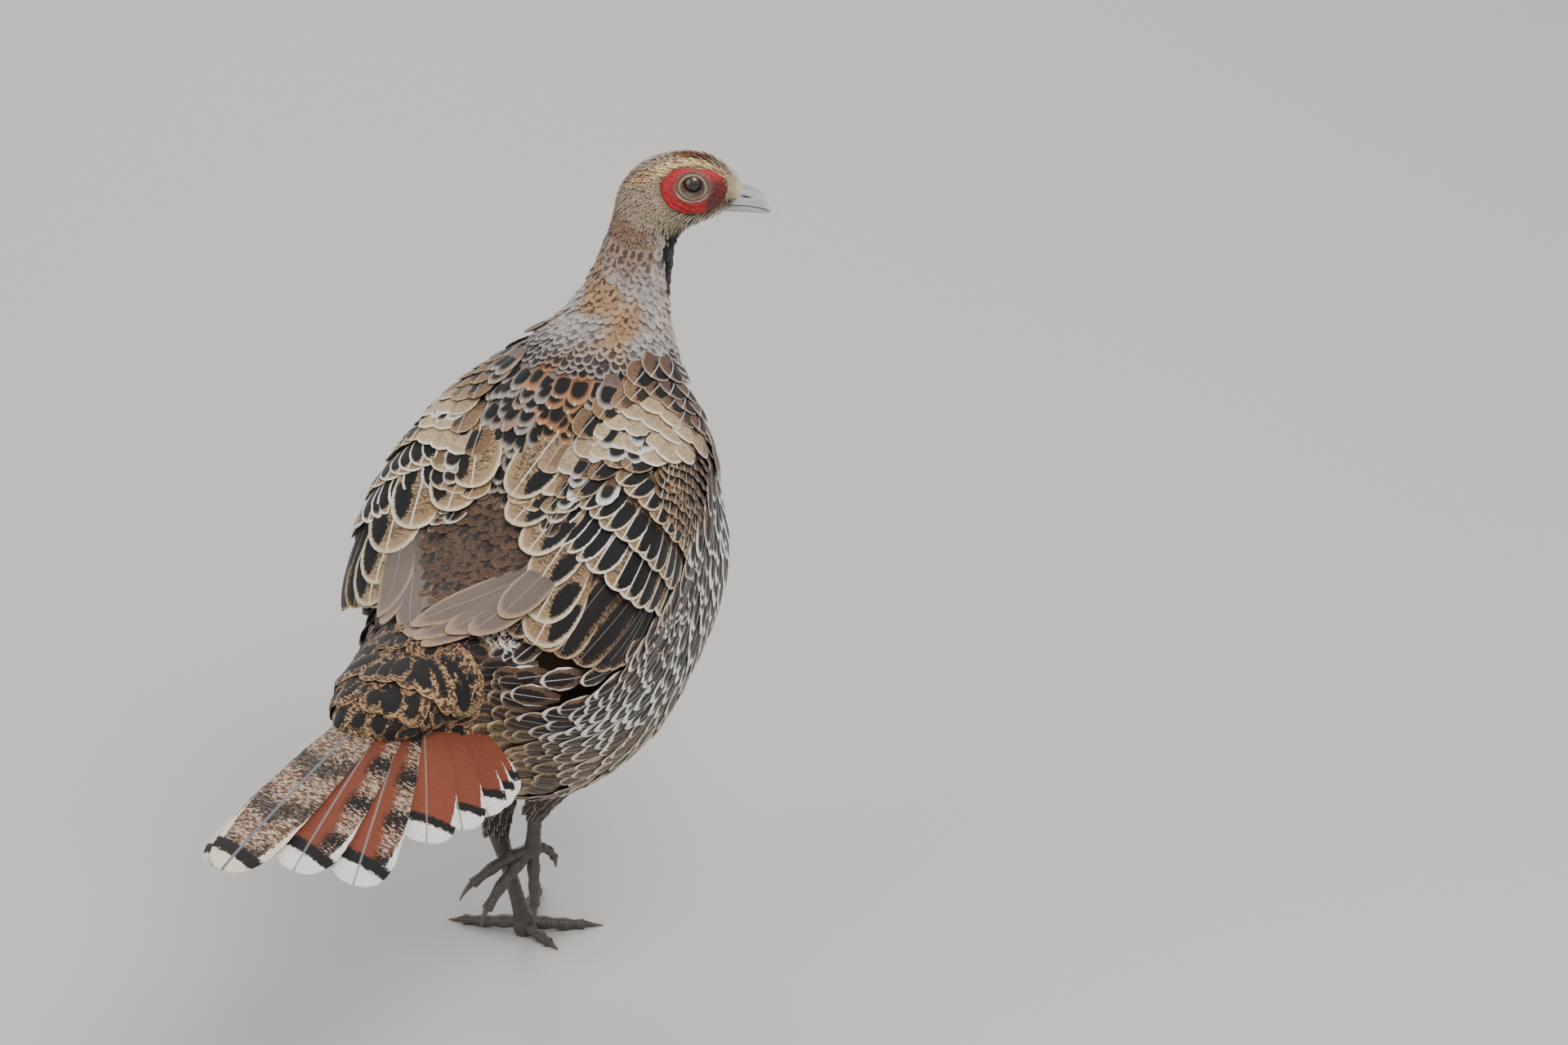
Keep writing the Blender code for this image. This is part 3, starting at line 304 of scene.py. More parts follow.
def grid_faces(rows: int, cols: int, wrap: bool, start: int | None = None,
               end: int | None = None) -> tuple[Array, Array]:
    """Faces of a grid of points, wrapped round or open, with its ends drawn to poles or capped.

    Args:
        rows: rings of the grid.
        cols: points of each ring.
        wrap: whether each ring closes on itself.
        start: index of the pole of the first ring, or None for none.
        end: index of the pole of the last ring, or None for none.

    Returns:
        Corners and the size of each face.
    """
    r, c = np.meshgrid(np.arange(rows - 1), np.arange(cols if wrap else cols - 1), indexing="ij")
    n = (c + 1) % cols
    corners = (r * cols + c, r * cols + n, (r + 1) * cols + n, (r + 1) * cols + c)
    quads = np.stack(corners, axis=-1).reshape(-1, 4)
    loops, sizes = [quads.ravel()], [np.full(len(quads), 4)]
    ring = np.arange(cols)
    for pole, row, turned in ((start, 0, True), (end, rows - 1, False)):
        if pole is None:
            continue
        a, b = row * cols + ring, row * cols + (ring + 1) % cols
        fan = np.stack([b, a, np.full(cols, pole)] if turned else [a, b, np.full(cols, pole)], axis=-1)
        loops.append(fan.ravel())
        sizes.append(np.full(cols, 3))
    return np.concatenate(loops), np.concatenate(sizes)


def capped(name: str, grid: Array, ends: Array, finish: Finish, ground: Array,
           sharp: float = 60.0) -> Thing:
    """A closed piece from rings of points, each end drawn to a point.

    Args:
        name: the piece's name.
        grid: points (rings, around, 3) in millimetres.
        ends: the two end points.
        finish: its material.
        ground: colour of each point of the grid.
        sharp: edges that bend more than this many degrees are shaded sharp.

    Returns:
        The piece, faces outward.
    """
    rings, around = grid.shape[:2]
    loops, sizes = grid_faces(rings, around, True, rings * around, rings * around + 1)
    ground = ground.reshape(-1, 3)
    values = {"ground": np.vstack([ground, ground[:1], ground[-1:]])}
    points = np.vstack([grid.reshape(-1, 3), ends])
    return outward(mesh_object(name, points, loops, sizes, finish, None, values, sharp))


def outward(thing: Thing) -> Thing:
    """Turns a closed mesh's faces outward when its signed volume, the sum of a . (b x c), is negative."""
    mesh = thing.data
    mesh.calc_loop_triangles()
    points = np.empty(len(mesh.vertices) * 3, np.float32)
    mesh.vertices.foreach_get("co", points)
    tris = np.empty(len(mesh.loop_triangles) * 3, np.int32)
    mesh.loop_triangles.foreach_get("vertices", tris)
    p = points.reshape(-1, 3)[tris.reshape(-1, 3)]
    p = p - p.mean(axis=(0, 1))
    if np.sum(p[:, 0] * np.cross(p[:, 1], p[:, 2])) < 0:
        mesh.flip_normals()
    return thing


@dataclass(frozen=True)
class Blob:
    """An ellipsoid of the body: centre forward, left and up, half sizes, and pitch."""

    centre: tuple[float, float, float]
    half: tuple[float, float, float]
    pitch: float


@dataclass(frozen=True)
class BodyForm:
    """The bird's form as fields in millimetres, from the same driving sizes as the solids."""

    roll: float = 3.0
    mid_x: float = -13.0
    hip: float = 190.0
    torso: Blob = Blob((10, -4, 176), (91, 66, 72), 36)
    breast: Blob = Blob((50, -1, 208), (59, 58, 79), 34)
    rump: Blob = Blob((-62, 0, 190), (56, 40, 34), 20)
    shoulder: Blob = Blob((50, -2, 264), (46, 46, 41), 60)
    tail_root: Blob = Blob((-112, 2, 194), (42, 27, 14), 10)
    blends: tuple[float, ...] = (26, 40, 30, 34, 22)
    neck_base: tuple[float, float, float] = (68, -5, 290)
    neck_radii: tuple[float, float] = (21, 15.5)
    wing: Blob = Blob((0, 46, 218), (80, 29, 45), 36)
    wing_yaw: float = 5.0
    wing_roll: float = 24.0
    wing_blend: float = 30.0
    head: tuple[float, float, float] = (101, -35, 374.0)
    head_yaw: float = 59.0
    head_pitch: float = -5.0
    skull_half: tuple[float, float, float] = (24, 13.5, 15.2)
    cheek: Blob = Blob((-5, 0, -8), (20, 13.5, 13.0), 0)
    face_rod: tuple = ((8, 0, -2.0), (24, 0, -3.5), 11.5, 7.0)
    tail_stations: tuple = (
        (-152, 2, 186, 10, 0), (-146, 2, 186, 10, 0), (-118, 2, 192, 11, 0), (-92, 1, 198, 14, 0),
    )
    trunk_stations: tuple = (
        (-92, 1, 198, 14, 0), (-60, 0, 190, 22, 0), (-25, 0, 188, 32, 0), (12, 0, 203, 44, 0),
        (38, 0, 230, 54, 0), (55, -1, 260, 63, 0), (66, -4, 290, 71, 0),
    )
    neck_stations: tuple = (
        (66, -4, 290, 71, 0), (76, -10, 312, 75, 12), (84, -16, 332, 79, 30), (90, -23, 350, 83, 48),
    )

    def placed(self, forward: Array | float, left: Array | float, up: Array | float) -> Array:
        """Points of the trunk, which is rolled to its left about the hips."""
        r = math.radians(self.roll)
        x = self.mid_x + left * math.cos(r) + (up - self.hip) * math.sin(r)
        z = self.hip + (up - self.hip) * math.cos(r) - left * math.sin(r)
        return np.stack(np.broadcast_arrays(x, -1.0 * forward, z), axis=-1)

    @property
    def head_at(self) -> Array:
        """Centre of the skull."""
        return world(*self.head)

    @property
    def head_axes(self) -> Array:
        """Forward, left and up of the head."""
        return axes(self.head_yaw, self.head_pitch)

    def head_point(self, forward: float, left: float, up: float) -> Array:
        """A point from millimetres along the head's own axes."""
        return self.head_at + self.head_axes @ np.array([forward, left, up], float)

    def trunk(self, p: Array) -> Array:
        """Torso, breast, rump, shoulders, neck and tail root, blended one after another."""
        blobs = [ellipsoid(p, self.placed(*b.centre), b.half, axes(0, b.pitch, self.roll))
                 for b in (self.torso, self.breast, self.rump, self.shoulder, self.tail_root)]
        throat = self.head_at + axes(self.head_yaw, 0) @ np.array([-18.0, 0.0, -14.0])
        neck = round_cone(p, self.placed(*self.neck_base), throat, *self.neck_radii)
        f = blobs[0]
        for other, k in zip((blobs[1], blobs[2], blobs[3], neck, blobs[4]), self.blends):
            f = smooth_min(f, other, k)
        return f

    def skull(self, p: Array) -> Array:
        """Skull, cheeks and the narrowing face."""
        start, end, wide, narrow = self.face_rod
        bone = ellipsoid(p, self.head_at, self.skull_half, self.head_axes)
        cheek = ellipsoid(p, self.head_point(*self.cheek.centre), self.cheek.half, self.head_axes)
        face = round_cone(p, self.head_point(*start), self.head_point(*end), wide, narrow)
        return smooth_min(smooth_min(bone, cheek, 8), face, 10)

    def bird(self, p: Array) -> Array:
        """Trunk and head in one."""
        return smooth_min(self.trunk(p), self.skull(p), 14)

    def wing_frame(self, side: Side) -> tuple[Array, Array]:
        """Centre and axes of a folded wing."""
        forward, left, up = self.wing.centre
        turn = axes(self.wing_yaw * side.value, self.wing.pitch, self.roll + self.wing_roll * side.value)
        return self.placed(forward, left * side.value, up), turn

    def wing_point(self, side: Side, along: Array, aside: Array | float, above: Array) -> Array:
        """Points from millimetres in a wing's frame; aside is away from the body."""
        centre, turn = self.wing_frame(side)
        local = np.broadcast_arrays(along, np.asarray(aside) * side.value, above)
        return centre + np.stack(local, axis=-1).astype(float) @ turn.T

    def winged(self, p: Array) -> Array:
        """Trunk and head with the bulge of both folded wings."""
        f = self.bird(p)
        for side in Side:
            centre, turn = self.wing_frame(side)
            f = smooth_min(f, ellipsoid(p, centre, self.wing.half, turn), self.wing_blend)
        return f

    def top(self, forward: Array, left: Array) -> Array:
        """Points of the plumage straight above places of the trunk, found by stepping down and halving."""
        spots = self.placed(forward, left, 250.0)
        heights = np.linspace(335, 150, 75)
        p = np.repeat(spots[:, None], len(heights), axis=1)
        p[..., 2] = heights
        inside = self.winged(p) < 0
        first = np.maximum(np.argmax(inside, axis=1), 1)
        high, low = heights[first - 1], heights[first]

        def outside(height: Array) -> Array:
            """Whether the places are outside the plumage at a height."""
            spots[:, 2] = height
            return self.winged(spots) >= 0

        spots[:, 2] = halve(outside, low, high, 7)[1]
        return spots


@dataclass
class SkinLoft:
    """The body's surface as a grid: rings along the spine from the tail's root to the crown."""

    form: BodyForm
    around: int = 96
    level: float = -2.2
    counts: tuple[int, int, int, int] = (16, 78, 34, 40)
    points: Array = field(init=False)
    spine: Array = field(init=False)
    angles: Array = field(init=False)

    def frames(self) -> tuple[Array, Array]:
        """Centres and frames of the rings: splines through the stations, then slices up the head.

        Returns:
            Centres (rings, 3) and matrices (rings, 3, 3).
        """
        form = self.form
        tail, trunk, neck, head = self.counts
        rows = np.vstack([spline(form.tail_stations, tail)[:-1], spline(form.trunk_stations, trunk)[:-1],
                          spline(form.neck_stations, neck)])
        centres = list(form.placed(*rows[:, :3].T))
        turns = [axes(row[4], row[3], form.roll) for row in rows]
        last, level = centres[-1], turns[-1][:, 0]
        local = (last - form.head_at) @ form.head_axes
        top = form.skull_half[2] - 0.3
        for i in range(1, head):
            u = i / (head - 1)
            height = local[2] + (top - local[2]) * math.sin(u * math.pi / 2) ** 1.1
            ahead = local[0] + (3.0 - local[0]) * min(1.0, u * 1.8)
            mix = min(1.0, u * 2.0)
            normal = unit(level * (1 - mix) + form.head_axes[:, 2] * mix)
            left = unit(form.head_axes[:, 1] - normal * (form.head_axes[:, 1] @ normal))
            rise = np.cross(normal, left)
            rise = -rise if rise @ form.head_axes[:, 0] > 0 else rise
            centres.append(form.head_point(ahead, local[1] * max(0.0, 1 - u * 1.6), height))
            turns.append(np.stack([normal, left, rise], axis=1))
        return np.array(centres), np.array(turns)

    def __post_init__(self) -> None:
        """Casts a ray at each angle of each ring to where the field reaches the skin's level."""
        centres, turns = self.frames()
        self.angles = circle(self.around)
        ways = (np.cos(self.angles)[None, :, None] * turns[:, None, :, 1]
                + np.sin(self.angles)[None, :, None] * turns[:, None, :, 2])
        start = np.broadcast_to(centres[:, None], ways.shape)
        shape = ways.shape[:2]
        low, high, found = np.zeros(shape), np.full(shape, 130.0), np.zeros(shape, bool)
        for t in np.linspace(2.5, 130, 52):
            out = (self.form.bird(start + ways * t) >= self.level) & ~found
            high = np.where(out, t, high)
            found |= out
            low = np.where(found, low, t)

        def outside(reach: Array) -> Array:
            """Whether the rays have left the skin at a reach."""
            return self.form.bird(start + ways * reach[..., None]) >= self.level

        low, high = halve(outside, low, high, 12)
        self.points = start + ways * high[..., None]
        steps = np.linalg.norm(np.diff(centres, axis=0), axis=1)
        self.spine = np.concatenate([[0], np.cumsum(steps)])
        self.spine -= self.spine[self.counts[0] - 1]

    def at(self, row: Array, turn: Array) -> Array:
        """Points between the grid's own, by bilinear mixing; turn is in radians from the left side."""
        col = np.mod(turn, 2 * math.pi) / (2 * math.pi) * self.around
        r0 = np.clip(np.floor(row).astype(int), 0, len(self.points) - 2)
        c0 = np.floor(col).astype(int) % self.around
        fr, fc = (row - r0)[:, None], (col - np.floor(col))[:, None]
        c1 = (c0 + 1) % self.around
        p = self.points
        here = p[r0, c0] * (1 - fr) + p[r0 + 1, c0] * fr
        beside = p[r0, c1] * (1 - fr) + p[r0 + 1, c1] * fr
        return here * (1 - fc) + beside * fc

    def lattice(self, low: float, high: float, spacing: float, step: float,
                rng: np.random.Generator) -> tuple[Array, Array, Array, Array]:
        """Places of feathers in staggered rings, ring after ring along the skin.

        Args:
            low: spine distance of the first ring.
            high: spine distance of the last ring.
            spacing: millimetres between feathers of a ring.
            step: millimetres of skin between rings.
            rng: random numbers that jitter them.

        Returns:
            Points (n, 3), row (n), spine distance (n) and turn in radians (n).
        """
        count_rows = np.arange(len(self.spine))
        rise = np.linalg.norm(np.diff(self.points, axis=0), axis=-1).mean(axis=1)
        along = np.concatenate([[0], np.cumsum(rise)])
        ends = np.interp((low, high), self.spine, along)
        rows, turns = [], []
        for i, reach in enumerate(np.arange(ends[0], ends[1], step)):
            row = np.interp(reach, along, count_rows)
            ring = self.points[int(round(row))]
            girth = np.linalg.norm(np.roll(ring, -1, axis=0) - ring, axis=1)
            count = max(3, int(girth.sum() / spacing))
            share = (np.arange(count) + 0.5 * (i % 2) + rng.uniform(-0.2, 0.2, count)) / count
            distance = np.concatenate([[0], np.cumsum(girth)])
            turn = np.interp(np.mod(share, 1) * distance[-1], distance, np.arange(self.around + 1))
            turns.append(turn * 2 * math.pi / self.around)
            rows.append(np.interp(reach + rng.uniform(-0.28, 0.28, count) * step, along, count_rows))
        row, turn = np.clip(np.concatenate(rows), 0, len(self.points) - 1.001), np.concatenate(turns)
        return self.at(row, turn), row, np.interp(row, count_rows, self.spine), turn

    def unwrap(self, p: Array) -> Array:
        """Place of each point on the unwrap of the skin: its nearest ring and angle, from 0 to 1."""
        flat = self.points.reshape(-1, 3)
        found = []
        for part in np.array_split(p, max(1, len(p) // 400)):
            near = np.argmin(((part[:, None] - flat[None]) ** 2).sum(axis=-1), axis=1)
            row, col = near // self.around, near % self.around
            found.append(np.stack([col / self.around, row / len(self.points)], axis=1))
        return np.concatenate(found)


@dataclass(frozen=True)
class PlumageFinish:
    """Feather vane keratin: soft, silky and matt, with fine barbs that run out from the shaft.

    Ground, fringe and blotch colours come with each feather; the finish says how they are laid out.

    Attributes:
        name: material name.
        mottle: how much the ground varies, from 0 to 1.
        grain: mottle grains per millimetre along and across.
        vermicule: strength of fine dark cross lines.
        blotch: centre along, centre across, half length and half width of the dark blotch.
        fringe: width of the pale rim as a share of the vane.
        soft: how gradually the rim fades inward, from 0 to 1.
        fleck: strength of pale flecks in the fringe colour.
        web: place across, towards the outer edge, from which the vane is mottled and spotted, 2 for nowhere.
        ends: millimetres from the tip to the end of its white and of the black band before it.
        shaft: millimetres of pale shaft streak each side of the middle.
        shaft_colour: colour of the shaft streak.
        tip: where the pale arrowhead begins along the vane, 1 for none.
        bars: dark bars in pairs along the vane.
        barb: barbs per millimetre.
        roughness: roughness of the vane.
    """

    name: str
    mottle: float = 0.35
    grain: tuple[float, float] = (0.9, 0.5)
    vermicule: float = 0.0
    blotch: tuple[float, float, float, float] = (0.62, 0.0, 0.26, 0.55)
    fringe: float = 0.22
    soft: float = 0.35
    fleck: float = 0.0
    web: float = 2.0
    ends: tuple[float, float] = (0.0, 0.0)
    shaft: float = 0.22
    shaft_colour: str = "#e6dccb"
    tip: float = 1.0
    bars: float = 0.0
    barb: float = 1.5
    roughness: float = 0.68

    def build(self) -> Finish:
        """Makes the shader from the vane's own coordinates and the colours that each feather carries.

        Returns:
            The material.
        """
        made, tree, shader = blank(self.name)
        node = partial(add, tree)
        smooth, rgba = {"interpolation_type": "SMOOTHSTEP"}, {"data_type": "RGBA"}
        names = ("span", "dose", "ground", "fringe", "blotch")
        told = {name: node("Attribute", attribute_name=name) for name in names}
        ground, pale, black = (told[name].outputs["Color"] for name in names[2:])
        span, dose = (node("SeparateXYZ", {0: told[name].outputs["Vector"]}) for name in names[:2])
        place = node("SeparateXYZ", {0: node("UVMap", uv_map="Vane")})
        x, y = place.outputs[0], place.outputs[1]
        along = node("Math", {0: y, 1: span.outputs[0]}, operation="MULTIPLY")
        across = node("Math", {0: x, 1: span.outputs[1]}, operation="MULTIPLY")
        chance = node("Math", {0: span.outputs[2], 1: 60.0}, operation="MULTIPLY")
        lean = ("SUBTRACT", along, ("MULTIPLY", ("ABSOLUTE", across), 0.8))
        barbs = node("CombineXYZ", {0: lean, 1: ("MULTIPLY", across, 0.10), 2: chance})
        barb = node("TexNoise", {"Vector": barbs, "Scale": self.barb, "Detail": 3.0, "Roughness": 0.7})
        spots = node("CombineXYZ", {0: ("MULTIPLY", along, self.grain[0]),
                                    1: ("MULTIPLY", across, self.grain[1]), 2: chance})
        mottle = node("TexNoise", {"Vector": spots, "Scale": 1.0, "Detail": 4.0, "Roughness": 0.6})
        lines = node("CombineXYZ", {0: ("MULTIPLY", along, 1.15), 1: ("MULTIPLY", across, 0.36), 2: chance})
        wavy = node("TexNoise", {"Vector": lines, "Scale": 1.15, "Detail": 3.0, "Distortion": 0.5})
        wobble = node("Math", {0: mottle, 1: 0.5}, operation="SUBTRACT")
        uneven = node("MapRange", {"Value": mottle, "From Min": 0.32, "From Max": 0.68}, **smooth)
        reach = ("MAXIMUM", ("DIVIDE", ("SUBTRACT", y, 0.55), 0.45), 0.0)
        rim = ("POWER", ("ADD", ("POWER", ("ABSOLUTE", x), 2.2), ("POWER", reach, 2.2)), 1 / 2.2)
        rim = node("Math", {0: ("SUBTRACT", 1.0, rim), 1: ("MULTIPLY", wobble, 0.16)}, operation="ADD")
        dark = node("Mix", {"Factor": uneven, "A": linear("#1d1611"), "B": ground}, **rgba)
        colour = node("Mix", {"Factor": self.mottle, "A": ground, "B": dark}, **rgba)
        if self.vermicule:
            fine = node("MapRange", {"Value": wavy, "From Min": 0.46, "From Max": 0.54}, **smooth)
            inward = node("MapRange", {"Value": rim, "From Min": 0.05, "From Max": 0.45}, **smooth)
            fine = ("MULTIPLY", fine, ("MULTIPLY", inward, self.vermicule))
            colour = node("Mix", {"Factor": fine, "A": colour, "B": linear("#1b1410")}, **rgba)
        if self.fleck:
            fleck = node("MapRange", {"Value": wavy, "From Min": 0.52, "From Max": 0.44}, **smooth)
            fleck = ("MULTIPLY", fleck, self.fleck)
            colour = node("Mix", {"Factor": fleck, "A": colour, "B": pale}, **rgba)
        if self.bars:
            turn = ("ADD", ("MULTIPLY", along, 2 * math.pi / self.bars), ("MULTIPLY", wobble, 9.0))
            turn = ("SINE", ("ADD", turn, ("MULTIPLY", ("ABSOLUTE", x), 1.6)))
            bar = node("MapRange", {"Value": turn, "From Min": 0.1, "From Max": 0.6}, **smooth)
            bar = ("MULTIPLY", bar, dose.outputs[0])
            if self.web < 2.0:
                outer = node("MapRange", {"Value": ("ADD", x, ("MULTIPLY", wobble, 0.9)),
                                          "From Min": self.web - 0.06, "From Max": self.web + 0.10}, **smooth)
                speck = node("MapRange", {"Value": wavy, "From Min": 0.40, "From Max": 0.56}, **smooth)
                speck = node("Mix", {"Factor": speck, "A": linear("#cdb59a"), "B": linear("#5c3a27")}, **rgba)
                colour = node("Mix", {"Factor": outer, "A": colour, "B": speck}, **rgba)
                inner = node("MapRange", {"Value": x, "From Min": self.web - 0.30,
                                          "From Max": self.web + 0.02}, **smooth)
                bar = ("MULTIPLY", bar, inner)
            colour = node("Mix", {"Factor": bar, "A": colour, "B": black}, **rgba)
        else:
            mid_y, mid_x, half_y, half_x = self.blotch
            near = ("ADD", ("POWER", ("ABSOLUTE", ("DIVIDE", ("SUBTRACT", y, mid_y), half_y)), 2.2),
                    ("POWER", ("ABSOLUTE", ("DIVIDE", ("SUBTRACT", x, mid_x), half_x)), 2.2))
            ragged = ("ADD", ("SUBTRACT", near, dose.outputs[0]), ("MULTIPLY", wobble, 2.0))
            blot = node("MapRange", {"Value": ragged, "From Min": 0.22, "From Max": -0.12}, **smooth)
            some = node("MapRange", {"Value": dose.outputs[0], "From Min": 0.02, "From Max": 0.2}, **smooth)
            colour = node("Mix", {"Factor": ("MULTIPLY", blot, some), "A": colour, "B": black}, **rgba)
        band = ("DIVIDE", rim, ("ADD", ("MULTIPLY", dose.outputs[1], self.fringe), 0.001))
        band = node("MapRange", {"Value": band, "From Min": 1.0 + self.soft,
                                 "From Max": 1.0 - self.soft}, **smooth)
        colour = node("Mix", {"Factor": band, "A": colour, "B": pale}, **rgba)
        if self.ends[1]:
            left = ("ADD", ("MULTIPLY", ("SUBTRACT", 1.0, y), span.outputs[0]), ("MULTIPLY", x, 3.5))
            left = node("Math", {0: left, 1: ("MULTIPLY", wobble, 6.0)}, operation="ADD")
            for end, blur, tone in ((self.ends[1], 0.8, black), (self.ends[0], 0.5, pale)):
                past = node("MapRange", {"Value": left, "From Min": end + blur,
                                         "From Max": end - blur}, **smooth)
                colour = node("Mix", {"Factor": past, "A": colour, "B": tone}, **rgba)
        middle = node("MapRange", {"Value": ("ABSOLUTE", across), "From Min": self.shaft * 1.5,
                                   "From Max": self.shaft * 0.4}, **smooth)
        middle = ("MULTIPLY", middle, dose.outputs[2])
        colour = node("Mix", {"Factor": middle, "A": colour, "B": linear(self.shaft_colour)}, **rgba)
        if self.tip < 1.0:
            dart = ("SUBTRACT", ("MULTIPLY", ("SUBTRACT", y, self.tip), 1.5), ("ABSOLUTE", x))
            dart = node("MapRange", {"Value": dart, "From Min": 0.0, "From Max": 0.12}, **smooth)
            dart = ("MULTIPLY", dart, dose.outputs[2])
            colour = node("Mix", {"Factor": dart, "A": colour, "B": linear(self.shaft_colour)}, **rgba)
        # Painted shade, partly real: towards its root the vane darkens to 0.65, partly the down's own greyer
        # base and partly painted shade where the feathers over it cover it.
        root = node("MapRange", {"Value": y, "From Min": 0.05, "From Max": 0.6}, **smooth)
        root = ("ADD", ("MULTIPLY", root, 0.35), 0.65)
        silk = ("ADD", ("MULTIPLY", barb, 0.7), 0.62)
        shade = node("Math", {0: silk, 1: root}, operation="MULTIPLY")
        shade = node("CombineXYZ", {0: shade, 1: shade, 2: shade})
        colour = node("Mix", {"Factor": 1.0, "A": colour, "B": shade}, blend_type="MULTIPLY", **rgba)
        tree.links.new(next(s for s in colour.outputs if s.enabled), shader.inputs["Base Color"])
        relief = node("Bump", {"Height": barb, "Strength": 0.5, "Distance": 0.0003})
        tree.links.new(relief.outputs[0], shader.inputs["Normal"])
        shader.inputs["Roughness"].default_value = self.roughness
        shader.inputs["Specular IOR Level"].default_value = 0.28
        shader.inputs["Sheen Weight"].default_value = 0.12
        return made


@dataclass(frozen=True)
class SkinFinish:
    """Skin or horn with its colours carried by the surface, and small bumps over it.

    Attributes:
        name: material name.
        roughness: roughness of the surface.
        bumps: bumps per metre, 0 for none.
        depth: how strongly the bumps stand out.
        speckle: how much darker the hollows between bumps are painted, as painted shade.
        coat: strength of a clear wet or waxy coat.
        soft: how much light passes into it, as living skin lets it.
    """

    name: str
    roughness: float = 0.5
    bumps: float = 0.0
    depth: float = 0.4
    speckle: float = 0.0
    coat: float = 0.0
    soft: float = 0.0

    def build(self) -> Finish:
        """Makes the shader from the ground colour attribute and a cell pattern.

        Returns:
            The material.
        """
        made, tree, shader = blank(self.name)
        colour = add(tree, "Attribute", attribute_name="ground").outputs["Color"]
        if self.bumps:
            where = add(tree, "TexCoord").outputs["Object"]
            cells = add(tree, "TexVoronoi", {"Vector": where, "Scale": self.bumps, "Randomness": 0.9})
            # Painted shade: the colour darkens in the hollows between the cells, the low places of the bumps.
            hollow = add(tree, "MapRange", {"Value": cells.outputs[0], "From Min": 0.1, "From Max": 0.75,
                                            "To Min": 1.0, "To Max": 1.0 - self.speckle})
            dark = add(tree, "CombineXYZ", {0: hollow, 1: hollow, 2: hollow})
            shade = add(tree, "Mix", {"Factor": 1.0, "A": colour, "B": dark}, data_type="RGBA",
                        blend_type="MULTIPLY")
            colour = next(s for s in shade.outputs if s.enabled)
            relief = add(tree, "Bump", {"Height": hollow, "Strength": self.depth, "Distance": 0.0004})
            tree.links.new(relief.outputs[0], shader.inputs["Normal"])
        tree.links.new(colour, shader.inputs["Base Color"])
        shader.inputs["Roughness"].default_value = self.roughness
        shader.inputs["Coat Weight"].default_value = self.coat
        shader.inputs["Coat Roughness"].default_value = 0.08
        shader.inputs["Subsurface Weight"].default_value = self.soft
        shader.inputs["Subsurface Scale"].default_value = 0.002
        return made


@dataclass
class Marks:
    """Colours and strengths of the markings of each feather: dose is blotch, fringe and shaft."""

    ground: Array
    fringe: Array
    blotch: Array
    dose: Array

    @classmethod
    def plain(cls, count: int, ground: str, fringe: str, blotch: str,
              dose: tuple[float, float, float]) -> "Marks":
        """The same markings on every feather.

        Args:
            count: number of feathers.
            ground: colour of the vane.
            fringe: colour of its rim.
            blotch: colour of its dark blotch.
            dose: strength of blotch, fringe and shaft.

        Returns:
            The markings.
        """
        rows = [np.tile(rgb(c), (count, 1)) for c in (ground, fringe, blotch)]
        return cls(rows[0], rows[1], rows[2], np.tile(np.array(dose, float), (count, 1)))

    def lay(self, mask: Array, ground: str | None = None, fringe: str | None = None,
            blotch: str | None = None, dose: tuple[float, float, float] | None = None) -> "Marks":
        """Blends other markings over these where the mask is high."""
        for name, code in (("ground", ground), ("fringe", fringe), ("blotch", blotch)):
            if code is not None:
                setattr(self, name, paint(getattr(self, name), mask, code))
        if dose is not None:
            m = np.clip(mask, 0, 1)[:, None]
            self.dose = self.dose * (1 - m) + np.array(dose, float) * m
        return self

    def vary(self, rng: np.random.Generator, light: float, size: float) -> "Marks":
        """Makes each feather a little lighter or darker, and its blotch larger or smaller."""
        n = len(self.ground)
        self.ground = self.ground * np.exp(rng.normal(0, light, (n, 1)))
        self.fringe = self.fringe * np.exp(rng.normal(0, light * 0.7, (n, 1)))
        self.dose = np.maximum(self.dose * np.exp(rng.normal(0, size, (n, 3))), 0)
        return self


def ripple(p: Array, pitch: float, seed: int) -> Array:
    """Smooth unevenness from 0 to 1 over the body: a sum of nine sines of random direction and phase.

    Args:
        p: points in millimetres.
        pitch: millimetres from one high place to the next.
        seed: seed of its random numbers.

    Returns:
        One number per point.
    """
    rng = np.random.default_rng(seed)
    ways = unit(rng.normal(size=(9, 3))) * rng.uniform(0.7, 1.5, (9, 1)) * 2 * math.pi / pitch
    waves = np.sin(p @ ways.T + rng.uniform(0, 6.28, 9))
    return np.clip(0.5 + waves.sum(axis=1) / 6.0, 0, 1)


@dataclass(frozen=True)
class Cut:
    """The outline of a vane and how finely it is meshed.

    Attributes:
        rows: rows of points from root to tip.
        cols: points across.
        widest: where along the vane the tip starts to round off.
        tip: exponent of the rounding, 2 for round and nearer 1 for pointed.
        quill: share of the width at the root.
        crown: how far the middle stands over the edges, as a share of the half width.
        ragged: how uneven the edge is, as a share of the half width.
        ridge: height of the shaft over the vane in millimetres.
    """

    rows: int = 7
    cols: int = 5
    widest: float = 0.55
    tip: float = 2.0
    quill: float = 0.35
    crown: float = 0.22
    ragged: float = 0.05
    ridge: float = 0.0

    def steps(self) -> Array:
        """Where each row lies, closer together at the tip."""
        s = np.linspace(0, 1, self.rows)
        return 1 - (1 - s) ** 1.35

    def share(self, u: Array) -> Array:
        """Width at u: eased up from the quill, then (1 - ((u - m) / (1 - m))^n)^(1 / n) to the tip."""
        rise = self.quill + (1 - self.quill) * np.sin(np.clip(u / self.widest, 0, 1) * math.pi / 2)
        fall = np.clip((u - self.widest) / (1 - self.widest), 0, 1)
        return rise * np.maximum((1 - fall ** self.tip) ** (1 / self.tip), 0.05)

    def across(self) -> Array:
        """Places across from -1 to 1, with two beside the shaft where the vane has a ridge."""
        v = np.linspace(-1, 1, self.cols)
        if self.ridge:
            inner = np.linspace(-1, 1, self.cols - 2)
            v = np.sort(np.concatenate([inner, [-0.07, 0.07]]))
        return v


